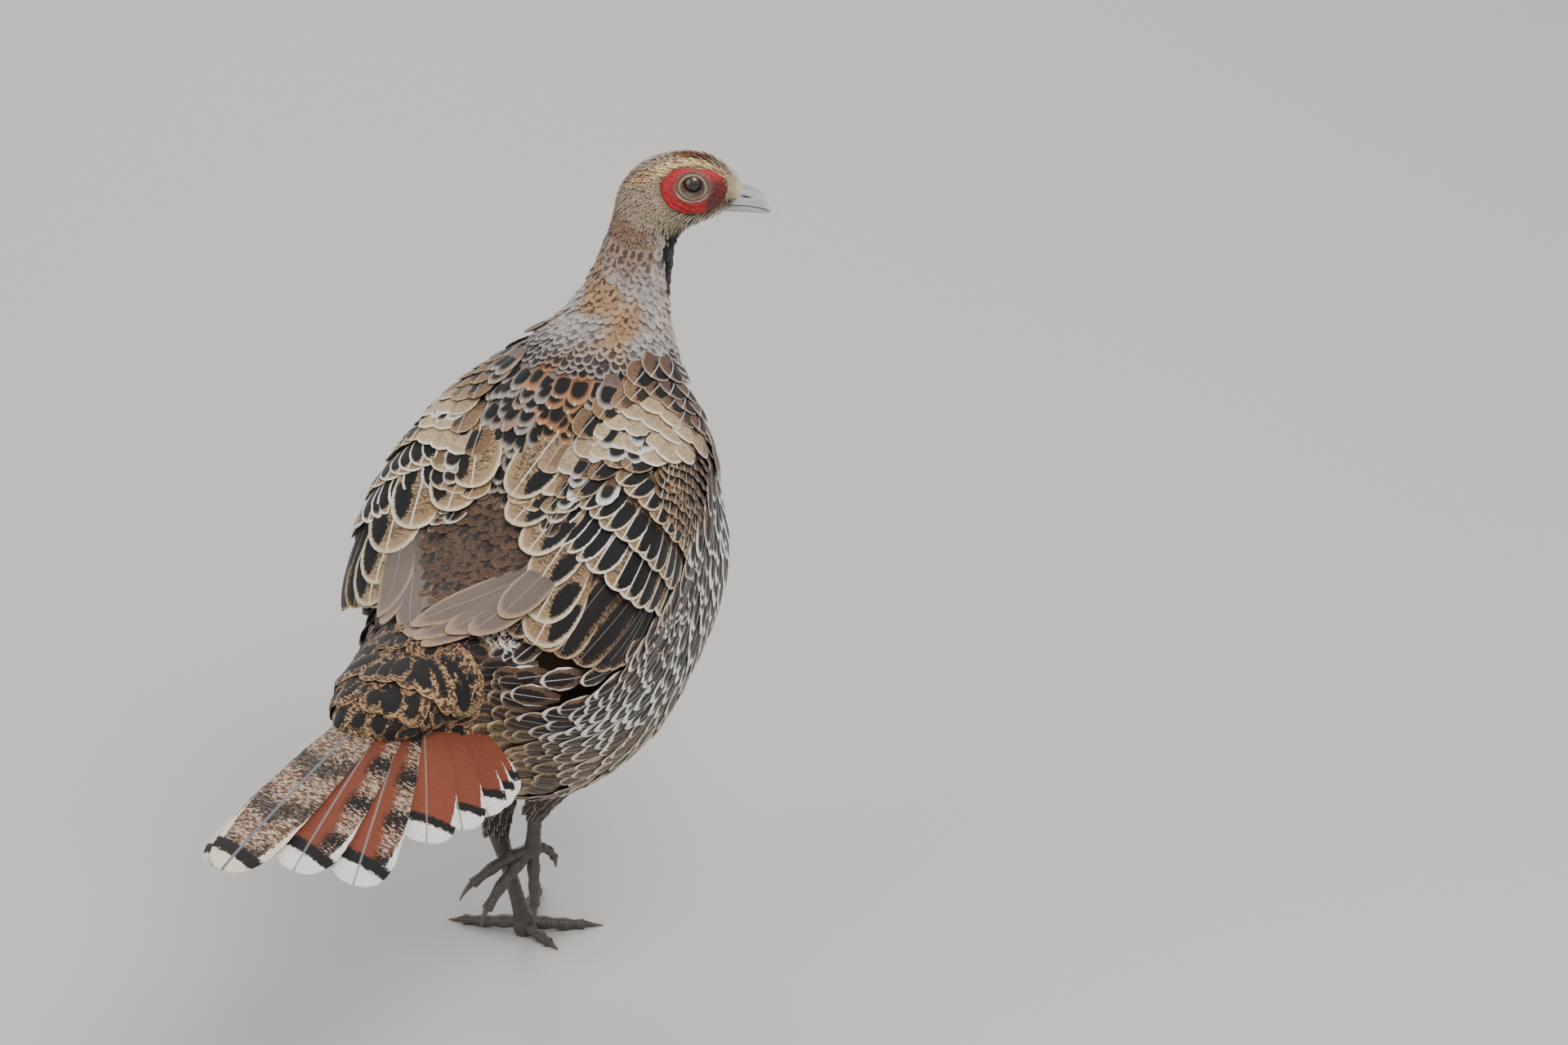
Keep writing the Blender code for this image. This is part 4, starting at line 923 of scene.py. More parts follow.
@dataclass
class Vanes:
    """Feathers as arrays: a grid of points each, their surface normals and their markings."""

    cut: Cut
    grid: Array
    normals: Array
    half: Array
    length: Array
    marks: Marks
    rng: np.random.Generator
    mirror: float = 1.0

    @classmethod
    def laid(cls, cut: Cut, form: Field, root: Array, tip: Array, half: Array, lifts: Array, tilt: Array,
             marks: Marks, rng: np.random.Generator) -> "Vanes":
        """Lays feathers over a field from root to tip.

        Three points of each row settle on the field at the row's lift, and the rest of the row lies on
        the parabola through them.

        Args:
            cut: outline of the vanes.
            form: field that they follow, in millimetres.
            root: points where they start.
            tip: points that they aim at.
            half: half widths.
            lifts: field level at root and tip, one pair per feather.
            tilt: rise of the left edge per millimetre of width.
            marks: their markings.
            rng: random numbers of their edges.

        Returns:
            The feathers.
        """
        u = cut.steps()
        line = root[:, None] * (1 - u[:, None]) + tip[:, None] * u[:, None]
        lift = lifts[:, :1] * (1 - u) + lifts[:, 1:] * u
        centres = settle(form, line, lift)
        tangents = unit(np.gradient(centres, axis=1))
        sides = unit(np.cross(tangents, gradient(form, centres)))
        width = half[:, None] * cut.share(u)
        edges = [settle(form, centres + sides * (s * width)[..., None], lift + s * width * tilt[:, None], 2)
                 for s in (-1, 1)]
        v = cut.across()
        v = v[None, None, :, None]
        grid = (centres[:, :, None] * (1 - v ** 2) + edges[0][:, :, None] * (v ** 2 - v) / 2
                + edges[1][:, :, None] * (v ** 2 + v) / 2)
        normals = unit(np.cross(edges[1] - edges[0], tangents))
        flip = np.sign(np.sum(normals * gradient(form, centres), axis=-1, keepdims=True))
        length = np.linalg.norm(np.diff(centres, axis=1), axis=-1).sum(axis=1)
        return cls(cut, grid, normals * flip, half, length, marks, rng)

    @classmethod
    def straight(cls, cut: Cut, root: Array, tip: Array, half: Array, normal: Array, bow: float,
                 camber: float, marks: Marks, rng: np.random.Generator) -> "Vanes":
        """Feathers on lines from root to tip that bow along their normals and droop at the edges."""
        u = cut.steps()
        line = root[:, None] * (1 - u[:, None]) + tip[:, None] * u[:, None]
        line = line + normal[:, None] * (np.sin(u * math.pi) * bow)[:, None]
        tangents = unit(np.gradient(line, axis=1))
        sides = unit(np.cross(tangents, normal[:, None]))
        normals = unit(np.cross(sides, tangents))
        width = (half[:, None] * cut.share(u))[:, :, None, None]
        v = cut.across()[None, None, :, None]
        grid = (line[:, :, None] + sides[:, :, None] * width * v
                - normals[:, :, None] * width * camber * v ** 2)
        flip = np.sign(np.sum(normals * normal[:, None], axis=-1, keepdims=True))
        length = np.linalg.norm(tip - root, axis=1)
        return cls(cut, grid, normals * flip, half, length, marks, rng)

    def mesh(self, name: str, finish: Finish, loft: SkinLoft) -> Thing:
        """Joins the vanes into one piece: a crowned top sheet and a flat underside on the same edges.

        Args:
            name: the piece's name.
            finish: its plumage.
            loft: the skin, whose unwrap places the baking patches.

        Returns:
            The object.
        """
        cut, (n, rows, cols) = self.cut, self.grid.shape[:3]
        v = cut.across()
        share = cut.share(cut.steps())
        width = (self.half[:, None] * share)[:, :, None]
        arch = cut.crown * (1 - v ** 2) * width + cut.ridge * np.exp(-(v / 0.05) ** 2)
        rough = 1 + cut.ragged * self.rng.uniform(-1, 1, (n, rows, 1)) * (np.abs(v) > 0.9)
        middle = self.grid[:, :, cols // 2:cols // 2 + 1]
        points = middle + (self.grid - middle) * rough[..., None] + self.normals[:, :, None] * arch[..., None]
        base = np.arange(n)[:, None, None] * rows * cols
        r, c = np.meshgrid(np.arange(rows - 1), np.arange(cols - 1), indexing="ij")
        first = (r * cols + c).ravel()
        top = base + np.stack([first, first + 1, first + cols + 1, first + cols], axis=-1)[None]
        left = np.arange(rows - 1) * cols
        under = base + np.stack([left, left + cols, left + 2 * cols - 1, left + cols - 1], axis=-1)[None]
        ends = base + np.stack([np.arange(cols)[::-1], (rows - 1) * cols + np.arange(cols)])[None]
        loops = np.concatenate([top.ravel(), under.ravel(), ends.ravel()])
        sizes = np.concatenate([np.full(top.size // 4, 4), np.full(under.size // 4, 4), np.full(2 * n, cols)])
        chance = self.rng.uniform(0, 1, n)
        vane = np.stack(np.broadcast_arrays(self.mirror * v * share[:, None], cut.steps()[:, None]), axis=-1)
        vane = np.broadcast_to(vane, (n, rows, cols, 2)).reshape(-1, 2)
        bake = loft.unwrap(self.grid[:, 0, cols // 2])
        bake = np.repeat(bake, rows * cols, axis=0) + (vane - np.array([0, 0.5])) * np.array([0.0015, 0.003])
        spans = np.stack([self.length, self.half, chance], axis=1)
        each = {"ground": self.marks.ground, "fringe": self.marks.fringe, "blotch": self.marks.blotch,
                "dose": self.marks.dose, "span": spans}
        values = {key: np.repeat(value, rows * cols, axis=0) for key, value in each.items()}
        return outward(mesh_object(name, points.reshape(-1, 3), loops, sizes, finish,
                                   {"Vane": vane, "OFBake": bake}, values, 75.0))


@dataclass(frozen=True)
class Tract:
    """How the feathers of one stretch of the body are spaced, sized and laid.

    Attributes:
        low: spine distance where it starts, towards the tail.
        high: spine distance where it ends, towards the head.
        spacing: millimetres between feathers of a ring.
        step: millimetres between rings.
        length: length of a feather.
        half: half width of a feather.
        lifts: field level at root and tip.
        cut: outline of the vane.
    """

    low: float
    high: float
    spacing: float
    step: float
    length: float
    half: float
    lifts: tuple[float, float]
    cut: Cut


def staggered(first: Array, second: Array, shift: float) -> Array:
    """Pairs of all first and second values, the second moved by a shift in every other row."""
    return np.array([(x, y) for i, x in enumerate(first) for y in second + shift * (i % 2)])


def above_flank(p: Array) -> Array:
    """Millimetres that points stand over the line where flank feathers overlap a wing."""
    return p[:, 2] - np.interp(-p[:, 1], (-60, -26, 8, 32, 60), (207, 203, 229, 250, 272))


@dataclass
class Coat:
    """The small feathers of trunk, neck and head, with the markings of each region."""

    form: BodyForm
    loft: SkinLoft
    seed: int = 11
    neck_from: float = 205.0
    bill_from: float = 24.3

    def in_head(self, p: Array) -> Array:
        """Points in the head's own frame: forward, left and up."""
        return (p - self.form.head_at) @ self.form.head_axes

    def marks(self, p: Array, spine: Array, turn: Array, rng: np.random.Generator) -> Marks:
        """Works out each feather's colours from where it is rooted.

        Args:
            p: roots in millimetres.
            spine: distance along the spine, 0 at the tail's root.
            turn: angle round the spine in radians, 0 on the left and a quarter turn on the back.
            rng: random numbers.

        Returns:
            The markings.
        """
        back = np.sin(turn)
        flank = np.abs(np.cos(turn))
        m = Marks.plain(len(p), "#6e5340", "#9a7c5e", "#17120f", (0.8, 0.6, 0.2))
        spread = ripple(p, 26, 3)
        m.lay(smoothstep(0.25, 0.6, back) * (1 - smoothstep(135, 175, spine)), "#644a38", "#8a6c50",
              "#241a14", (0.35, 0.25, 0.0))
        m.lay((1 - smoothstep(10, 45, spine)) * smoothstep(-0.3, 0.3, back), "#4b3526", "#b98f64",
              "#15100d", (0.85, 0.15, 0.0))
        mantle = smoothstep(0.1, 0.5, back) * smoothstep(132, 160, spine) * (1 - smoothstep(216, 240, spine))
        m.lay(mantle, "#8a7666", "#a3968a", "#120e0d", (1.1, 0.9, 0.9))
        m.lay(mantle * smoothstep(0.45, 0.75, spread) * smoothstep(160, 185, spine), "#8d5635", "#b07a52")
        front = smoothstep(-0.1, 0.35, -back + 0.25) * smoothstep(140, 185, spine)
        m.lay(front, "#9a8672", "#c4b5a1", "#191411", (0.75, 0.9, 0.3))
        side = smoothstep(0.5, 0.8, flank) * smoothstep(20, 50, spine) * (1 - smoothstep(165, 205, spine))
        m.lay(side, "#7a5a40", "#e8e2d8", "#1a1310", (1.1, 0.9, 0.7))
        m.lay(side * smoothstep(0.1, 0.5, -back), "#5d4433", "#f1ede6", "#15100e", (1.2, 1.5, 0.6))
        belly = smoothstep(0.45, 0.85, -back) * smoothstep(20, 50, spine) * (1 - smoothstep(120, 170, spine))
        m.lay(belly, "#c3b196", "#e6dccb", "#5a4431", (0.7, 0.9, 0.3))
        m.lay(smoothstep(0.3, 0.8, -back) * (1 - smoothstep(5, 40, spine)), "#b59468", "#d9c6a2", "#5a4431",
              (0.4, 0.7, 0.1))
        neck = smoothstep(self.neck_from + 8, self.neck_from + 30, spine)
        nape = smoothstep(0.1, 0.75, back)
        m.lay(neck, "#b1a7a3", "#c6beb9", "#6f6661", (0.15, 0.35, 0.0))
        m.lay(neck * smoothstep(0.4, -0.5, back), "#bfae9c", "#d2c5b6")
        m.lay(neck * nape * smoothstep(0.35, 0.7, ripple(p, 30, 6)), "#a98460", "#c0a07c", "#3f2f26")
        m.lay(neck * nape * smoothstep(250, 285, spine), "#94755c", "#b39a80", "#4a382c", (0.4, 0.35, 0.0))
        spotted = (rng.random(len(p)) < 0.10) * smoothstep(245, 222, spine) * smoothstep(0.5, -0.2, back)
        m.lay(neck * (spotted > 0.5), blotch="#14100e", dose=(1.6, 0.6, 0.0))
        wrapped = np.abs(np.mod(turn - 1.5 * math.pi + math.pi, 2 * math.pi) - math.pi)
        wide = np.interp(spine, (220, 238, 252, 266, 282, 300), (0.15, 0.35, 0.6, 1.15, 1.5, 1.4))
        broken = 0.6 * (ripple(p, 9, 5) - 0.5) + rng.normal(0, 0.06, len(p))
        throat = smoothstep(0.14, -0.10, wrapped - wide + broken)
        throat = throat * smoothstep(218, 246, spine + 26 * (ripple(p, 7, 8) - 0.5))
        m.lay(throat, "#15110f", "#241c18", "#0b0908", (0.2, 0.3, 0.0))
        return self.head_marks(m, p, rng)

    def head_marks(self, m: Marks, p: Array, rng: np.random.Generator) -> Marks:
        """Adds the head's own markings: crown, brow, lores, ear coverts, chin and throat."""
        ahead, aside, up = self.in_head(p).T
        aside = np.abs(aside)
        on = smoothstep(-22, -15, up + 0.25 * np.minimum(ahead + 6, 0)) * smoothstep(-34, -27, ahead)
        noise = rng.normal(0, 1, len(p))
        m.lay(on, "#a8917a", "#c4b09a", "#6a5340", (0.3, 0.4, 0.0))
        crown = on * smoothstep(11.4, 12.6, up + 0.10 * ahead - 0.12 * aside + 0.35 * noise)
        back_of = on * smoothstep(-17, -25, ahead) * smoothstep(-2, 4, up)
        m.lay(np.maximum(crown, back_of * 0.8), "#8a5430", "#a9713f", "#2a1a13", (0.8, 0.4, 0.0))
        brow_mid = np.interp(ahead, (-26, -14, -6, 4, 14, 24), (1.5, 6.3, 9.8, 11.2, 9.6, 5.0))
        brow = on * smoothstep(2.5, 1.4, np.abs(up - brow_mid + 0.3 * noise)) * smoothstep(2.5, 4.5, aside)
        m.lay(brow, "#e3c795", "#f0dcb6", "#8a5c38", (0.15, 0.5, 0.0))
        m.lay(brow * smoothstep(-8, -18, ahead), "#c6a079", blotch="#6a4128", dose=(0.6, 0.4, 0.0))
        lores = on * smoothstep(17.5, 19.5, ahead) * smoothstep(7, 4.5, up)
        m.lay(lores, "#d9c6a4", "#e8dabf", "#2b201a", (0.35, 0.4, 0.0))
        dotted = lores * smoothstep(1.8, 0.6, np.abs(up + 5.2 + 0.5 * noise))
        m.lay(dotted, "#4a382c", "#8f7a63")
        ear = on * smoothstep(10, 4, ahead) * smoothstep(-24, -18, ahead) * smoothstep(-8, -10.5, up)
        m.lay(ear, "#a8967f", "#c2b29b", "#6d5b49", (0.25, 0.4, 0.0))
        chin = on * smoothstep(-9.5, -12, up) * smoothstep(1, 8, ahead)
        m.lay(chin, "#cfc3b0", "#ddd3c4", "#3a2e26", (0.5, 0.4, 0.0))
        ragged = smoothstep(-17.0, -19.5, up - 0.05 * ahead + 0.8 * noise) * smoothstep(-17, -12, ahead)
        m.lay(on * ragged * smoothstep(14, 9, ahead), "#1c1613", "#2c231e", "#0d0a09", (0.3, 0.3, 0.0))
        return m

    def away(self, row: Array, turn: Array, p: Array) -> Array:
        """Directions in which feathers lie: towards the tail, and on the head back from the bill."""
        lower = self.loft.at(np.maximum(row - 0.8, 0), turn)
        upper = self.loft.at(np.minimum(row + 0.8, len(self.loft.points) - 1.001), turn)
        down = unit(lower - upper)
        ahead, _, up = self.in_head(p).T
        ax = self.form.head_axes
        sink = smoothstep(6, -24, ahead) * 1.15 + smoothstep(-4, -16, up) * 0.28 + 0.06
        level = 1.0 - 0.75 * smoothstep(-8, -27, ahead)
        swept = unit(-ax[:, 0] * level[:, None] - ax[:, 2] * sink[:, None])
        on = smoothstep(-27, -13, up)[:, None] * smoothstep(-50, -25, ahead)[:, None]
        way = unit(down * (1 - on) + swept * on)
        n = gradient(self.form.winged, p)
        return unit(way - n * np.sum(way * n, axis=1, keepdims=True))

    def bare(self, p: Array) -> Array:
        """Where no feather grows: the red skin round each eye and the horn of the bill."""
        ahead, aside, up = self.in_head(p).T
        off = (np.stack([ahead, up], axis=1) - PATCH_CENTRE) / PATCH_HALF
        patch = (np.abs(off) ** PATCH_POWER).sum(axis=1)
        bill = (ahead > self.bill_from) & (np.abs(up + 3) < 12)
        return ((patch < 1.02) & (np.abs(aside) > 4)) | bill

    def under_wing(self, p: Array) -> Array:
        """Where a folded wing hides the body: over its bed and its bulge, down to the flank's edge."""
        over_edge = above_flank(p) > 2
        sideways = np.abs(gradient(self.form.winged, p)[:, 0]) > 0.35
        hidden = (self.form.bird(p) - self.form.winged(p) > 0.8) & sideways & over_edge
        for side in Side:
            centre, turn = self.form.wing_frame(side)
            q = (p - centre) @ turn
            share = (np.abs((q[:, ::2] - ARM_MIDDLE) / ARM_HALF) ** ARM_POWER).sum(axis=1)
            hidden |= (share < 0.72) & (q[:, 1] * side.value > -24) & over_edge
        return hidden

    def grow(self, name: str, tract: Tract, finish: Finish,
             keep: Callable[[Array, Array], Array] | None = None) -> Thing:
        """Feathers one tract.

        Args:
            name: the piece's name.
            tract: its spacing and sizes.
            finish: its plumage.
            keep: which roots belong to it, from points and turn.

        Returns:
            The piece.
        """
        rng = np.random.default_rng(self.seed + abs(int(tract.low)))
        p, row, spine, turn = self.loft.lattice(tract.low, tract.high, tract.spacing, tract.step, rng)
        p = settle(self.form.winged, p, self.loft.level, 6)
        stay = ~self.bare(p) & ~self.under_wing(p)
        if keep is not None:
            stay &= keep(p, turn)
        p, row, spine, turn = p[stay], row[stay], spine[stay], turn[stay]
        n = len(p)
        ahead, _, up = self.in_head(p).T
        way = self.away(row, turn, p)
        size = np.exp(rng.normal(0, 0.07, n))
        near_bill = smoothstep(12, 22, ahead) * smoothstep(-26, -20, up)
        length = tract.length * size * (1 - 0.6 * near_bill)
        half = tract.half * size * (1 - 0.45 * near_bill)
        side = np.cross(way, gradient(self.form.winged, p))
        way = unit(way + side * rng.normal(0, 0.05, (n, 1)))
        lifts = np.array(tract.lifts) + rng.normal(0, 0.10, (n, 1)) * abs(tract.lifts[1] - tract.lifts[0])
        high, forward, flank = above_flank(p), -p[:, 1], np.abs(np.cos(turn))
        over = smoothstep(-26, -6, high) * smoothstep(-24, -10, forward) * smoothstep(64, 50, forward)
        lifts = lifts + np.outer(over * (flank > 0.6) * (tract.low < 150), (2.4, 2.0))
        under = smoothstep(-14, -4, high) * smoothstep(-20, -34, forward) * smoothstep(-90, -70, forward)
        lifts = lifts - np.outer(under * (flank > 0.5), (2.2, 2.8))
        marks = self.marks(p, spine, turn, rng).vary(rng, 0.10, 0.10)
        vanes = Vanes.laid(tract.cut, self.form.winged, p, p + way * length[:, None], half, lifts,
                           rng.normal(0, 0.03, n), marks, rng)
        LOG.info("%s: %d feathers", name, n)
        return vanes.mesh(name, finish, self.loft)

    def skin(self, finish: Finish) -> Thing:
        """The skin under the feathers, with the same markings darkened as painted shade, its crown and tail
        ends closed.
        """
        rows, cols = self.loft.points.shape[:2]
        p = self.loft.points.reshape(-1, 3)
        turn = np.tile(self.loft.angles, rows)
        spine = np.repeat(self.loft.spine, cols)
        rng = np.random.default_rng(self.seed)
        marks = self.marks(p, spine, turn, rng)
        ends = self.loft.points[[0, -1]].mean(axis=1)
        # Painted shade: the skin carries the feathers' ground colours at 0.75, the shade between the
        # feathers.
        return capped("skin", self.loft.points, ends, finish, marks.ground * 0.75)


@dataclass
class Face:
    """Eyes, lids, bare red skin and bill, from the same driving sizes as the solids."""

    form: BodyForm
    eye: tuple[float, float, float] = (3.0, 8.4, 3.9)
    eye_radius: float = 6.1
    pupil: float = 0.40
    iris: float = 0.86
    lid_hole: tuple[float, float] = (5.5, 4.6)
    lid_height: float = 1.0
    upper: tuple = ((18.0, 1.5, -7.2, 6.4), (24.0, 1.5, -7.2, 5.8), (30.0, 0.6, -7.6, 4.6),
                    (35.5, -1.8, -8.6, 3.5), (40.0, -5.2, -10.0, 2.4), (43.2, -9.0, -12.6, 1.3),
                    (44.6, -12.6, -14.2, 0.45))
    lower: tuple = ((16.5, -8.0, -12.6, 6.0), (22.0, -7.8, -12.8, 5.4), (28.0, -8.0, -12.9, 4.4),
                    (34.0, -8.9, -12.8, 3.2), (38.5, -10.2, -12.7, 1.9), (41.0, -11.2, -12.5, 0.6))
    nostril: tuple[float, float, float] = (28.5, 4.4, -2.6)

    def build_eye(self, side: Side) -> Thing:
        """An eyeball of latitude rings about its line of sight, with a slight cornea.

        The radius is R (1 + 0.05 exp(-(a / 0.55)^2)) at angle a from the line of sight.
        """
        rings, around = 48, 64
        forward, left, up = self.eye
        ax = self.form.head_axes
        out = unit(ax[:, 1] * side.value + 0.10 * ax[:, 0])
        rise = unit(ax[:, 2] - out * (ax[:, 2] @ out))
        across = np.cross(out, rise)
        polar = np.linspace(0, math.pi, rings + 2)[1:-1]
        a = circle(around)
        radius = self.eye_radius * (0.985 + 0.05 * np.exp(-(polar / 0.55) ** 2))
        ring = np.cos(a)[:, None] * across + np.sin(a)[:, None] * rise
        centre = self.form.head_point(forward, left * side.value, up)
        points = (centre + out * (radius * np.cos(polar))[:, None, None]
                  + ring[None] * (radius * np.sin(polar))[:, None, None]).reshape(-1, 3)
        poles = np.array([centre + out * radius[0], centre - out * radius[-1]])
        gaze = np.concatenate([np.repeat(polar, around), [0.0, math.pi]])
        loops, sizes = grid_faces(rings, around, True, len(points), len(points) + 1)
        uv = np.vstack([np.stack([np.tile(a, rings), np.repeat(polar, around)], axis=1), [[0, 0], [0, 3.14]]])
        return outward(mesh_object(f"eyeball_{side.label}", np.vstack([points, poles]), loops, sizes,
                                   self.eye_finish(), {"Vane": uv}, {"gaze": gaze}))

    def eye_finish(self) -> Finish:
        """Wet eye: a black pupil in a dark brown iris with fine rays, under a clear gloss."""
        made, tree, shader = blank("wet dark eye")
        gaze = add(tree, "Attribute", attribute_name="gaze").outputs["Fac"]
        uv = add(tree, "SeparateXYZ", {0: add(tree, "UVMap", uv_map="Vane")})
        turn = add(tree, "Math", {0: uv.outputs[0], 1: 14.0}, operation="MULTIPLY")
        rays = add(tree, "TexNoise", {"Vector": add(tree, "CombineXYZ", {0: turn, 1: gaze}), "Scale": 1.4})
        ramp = add(tree, "ValToRGB", {0: gaze})
        stops = ((0.0, "#040303"), (self.pupil - 0.02, "#040303"), (self.pupil + 0.03, "#3a1c0f"),
                 (0.62, "#4a2817"), (self.iris - 0.05, "#2a150d"), (self.iris + 0.03, "#0d0907"))
        while len(ramp.color_ramp.elements) < len(stops):
            ramp.color_ramp.elements.new(0.5)
        for element, (place, code) in zip(ramp.color_ramp.elements, stops):
            element.position = place
            element.color = linear(code)
        brown = add(tree, "Mix", {"Factor": 0.35, "A": ramp, "B": rays.outputs[0]}, data_type="RGBA",
                    blend_type="MULTIPLY")
        tree.links.new(next(s for s in brown.outputs if s.enabled), shader.inputs["Base Color"])
        shader.inputs["Roughness"].default_value = 0.08
        shader.inputs["Coat Weight"].default_value = 1.0
        shader.inputs["Coat Roughness"].default_value = 0.02
        return made

    def press(self, flat: Array, side: Side, level: Array) -> Array:
        """Lays points of the head's own side plane on the head, at a height over it.

        Args:
            flat: forward and up in the head's frame.
            side: which side of the head.
            level: height over the skin.

        Returns:
            Points in millimetres.
        """
        ax = self.form.head_axes
        way = -ax[:, 1] * side.value
        start = self.form.head_at + flat[:, :1] * ax[:, 0] + flat[:, 1:] * ax[:, 2] - way * 26
        low, high = np.zeros(len(flat)), np.full(len(flat), 26.0)

        def inside(reach: Array) -> Array:
            """Whether the points are in the skull at a reach."""
            return self.form.skull(start + way * reach[:, None]) <= 0

        high = halve(inside, low, high, 16)[1]
        return start + way * (high - level)[:, None]

    def build_skin(self, side: Side, finish: Finish) -> Thing:
        """The bare red skin: a sheet from its rim to the lids, with wrinkles round the eye.

        Rings run from the rim to the eye's opening; the height is a folded wave of the distance from
        the eye plus a rise at the lids, and the last rings turn in over the eyeball.
        """
        around, rings = 144, 40
        eye = np.array([self.eye[0], self.eye[2]])
        a = circle(around)
        shape = np.stack([np.cos(a), np.sin(a)], axis=1)
        power = np.sum(np.abs(shape) ** PATCH_POWER, axis=1) ** (-1 / PATCH_POWER)
        rng = np.random.default_rng(21)
        wave = sum(np.cos(k * a + rng.uniform(0, 6.3)) * 0.012 for k in (3, 5, 7, 11))
        rim = PATCH_CENTRE + shape * (power * (1.035 + wave))[:, None] * PATCH_HALF
        lid = eye + shape * np.array(self.lid_hole)
        t = np.linspace(0, 1, rings)[:, None]
        flat = (rim[None] * (1 - t[..., None]) + lid[None] * t[..., None]).reshape(-1, 2)
        t = np.repeat(t[:, 0], around)
        turn = np.tile(a, rings)
        near = np.linalg.norm((flat - eye) / np.array(self.lid_hole), axis=1)
        ripples = np.stack([flat[:, 0], flat[:, 1], np.full(len(flat), side.value * 3.0)], axis=1)
        pebble = ripple(ripples, 1.7, 31) - 0.5
        fold = 0.14 * np.sin(near * 11 + 2.2 * np.sin(2 * turn + 0.6)) * smoothstep(1.0, 1.35, near)
        lid_rise = (self.lid_height * smoothstep(1.42, 1.04, near)
                    + 0.35 * np.exp(-((near - 1.22) / 0.09) ** 2))
        brow = 0.55 * np.exp(-((near - 1.42) / 0.10) ** 2) * smoothstep(-0.2, 0.6, np.sin(turn))
        under = 0.45 * np.exp(-((near - 1.5) / 0.11) ** 2) * smoothstep(0.1, 0.7, -np.sin(turn))
        rise = -0.9 * (1 - smoothstep(0, 0.10, t)) + 0.42 * smoothstep(0, 0.15, t) * (1 - t)
        height = rise + fold + lid_rise + brow + under + 0.22 * pebble * smoothstep(0, 0.2, t)
        points = self.press(flat, side, height)
        centre = self.form.head_point(self.eye[0], self.eye[1] * side.value, self.eye[2])
        away = points - centre
        reach = np.linalg.norm(away, axis=1, keepdims=True)
        clear = self.eye_radius + 0.35 + 0.5 * smoothstep(1, 1.3, near)[:, None]
        points = centre + away * np.maximum(1.0, clear / reach)
        inner = []
        for k, depth in ((0.965, 0.12), (0.95, -0.35)):
            ring = points[-around:]
            edge = centre + unit(ring - centre) * (self.eye_radius + depth)
            middle = edge.mean(axis=0)
            inner.append(middle + (edge - middle) * k)
        ground = self.skin_colours(flat, near, turn, pebble)
        points = np.vstack([points] + inner)
        # Painted shade: the two rings that turn in over the eyeball take the last ring's colour at 0.45, the
        # shade in the gap between lid and eye.
        ground = np.vstack([ground, np.tile(ground[-around:] * 0.45, (2, 1))])
        loops, sizes = grid_faces(rings + 2, around, True)
        name = f"bare_skin_{side.label}"
        thing = mesh_object(name, points, loops, sizes, finish, values={"ground": ground})
        if side is Side.LEFT:
            thing.data.flip_normals()
        return thing

    def skin_colours(self, flat: Array, near: Array, turn: Array, pebble: Array) -> Array:
        """Scarlet over and behind the eye, mottled dark in front, grey-brown by it, and a tan lid."""
        ahead, up = flat[:, 0] - self.eye[0], flat[:, 1] - self.eye[2]
        scarlet, crimson = (rgb(c) for c in ("#d0161a", "#8d0f14"))
        share = np.clip(0.62 + 0.9 * pebble, 0, 1)[:, None]
        colour = crimson * (1 - share) + scarlet * share
        layers = (
            (smoothstep(4.5, 8.5, ahead) * smoothstep(4.5, 1.5, up) * (0.45 + 0.9 * pebble + 0.35),
             "#4a1512"),
            (smoothstep(2.0, 1.45, near) * smoothstep(3.5, -1.0, up - 0.25 * ahead), "#6e5347"),
            (smoothstep(1.75, 1.35, near) * 0.75, "#7d5a4c"),
            (smoothstep(0.10, 0.03, np.abs(near - 1.56)) * smoothstep(-0.2, -0.75, np.sin(turn)), "#e6c9bf"),
            (smoothstep(1.34, 1.22, near), "#a58a68"),
            (smoothstep(1.12, 1.02, near), "#57432f"),
            (smoothstep(0.09, 0.02, np.abs(near - 1.30)) * smoothstep(-0.1, 0.5, np.sin(turn)), "#3c2c24"),
        )
        for mask, code in layers:
            colour = paint(colour, mask, code)
        return colour

    def build_bill(self, upper: bool, finish: Finish) -> Thing:
        """One half of the bill: arched sections between its ridge and its cutting edge.

        The upper half carries the nostril: a swollen flap, exp(-q), over a slit cut below it.
        """
        steps, around = 72, 48
        rows = spline(self.upper if upper else self.lower, steps)
        arc = around * 2 // 3
        a = np.linspace(0, math.pi, arc)
        flat = np.linspace(-1, 1, around - arc + 2)[1:-1]
        x, top, bottom, width = (rows[:, k][:, None] for k in range(4))
        height = top - bottom
        arch = np.sin(a)[None] ** 0.8 * height
        side = np.cos(a)[None] * width
        if upper:
            z_arc, z_flat = bottom + arch, bottom + 0.14 * height * (1 - flat[None] ** 2)
        else:
            z_arc, z_flat = top - arch, top - 0.10 * height * (1 - flat[None] ** 2)
        y = np.concatenate([side, np.broadcast_to(flat[None] * width, z_flat.shape)], axis=1)
        z = np.concatenate([z_arc, z_flat], axis=1)
        x = np.broadcast_to(x, y.shape)
        colour = np.broadcast_to(rgb("#b9b7ba"), y.shape + (3,))
        if upper:
            nx, _, nz = self.nostril
            drop = (z - nz) + 0.20 * (x - nx)
            flap = np.exp(-((x - nx + 1.0) / 3.4) ** 2 - ((drop - 0.9) / 1.5) ** 2)
            slit = np.exp(-((x - nx) / 2.5) ** 4 - ((drop + 0.75) / 0.42) ** 2)
            grown = 1 + (0.16 * flap - 0.30 * slit) * (np.abs(y) > 0.5)
            y = y * grown
            layers = (
                (smoothstep(27, 20, x) * 0.6, "#8b8587"),
                (smoothstep(0.75, 0.95, (z - bottom) / height) * smoothstep(40, 30, x) * 0.45, "#7f7f86"),
                (flap * 0.5, "#95929a"),
                # Painted shade: the nostril slit is painted near black, the shade inside the opening.
                (smoothstep(0.25, 0.6, slit), "#1c1618"),
                (smoothstep(36, 43, x) * 0.8, "#dcdcd6"),
                (smoothstep(0.10, 0.02, (z - bottom) / height) * 0.55, "#d6d2cc"),
            )
        else:
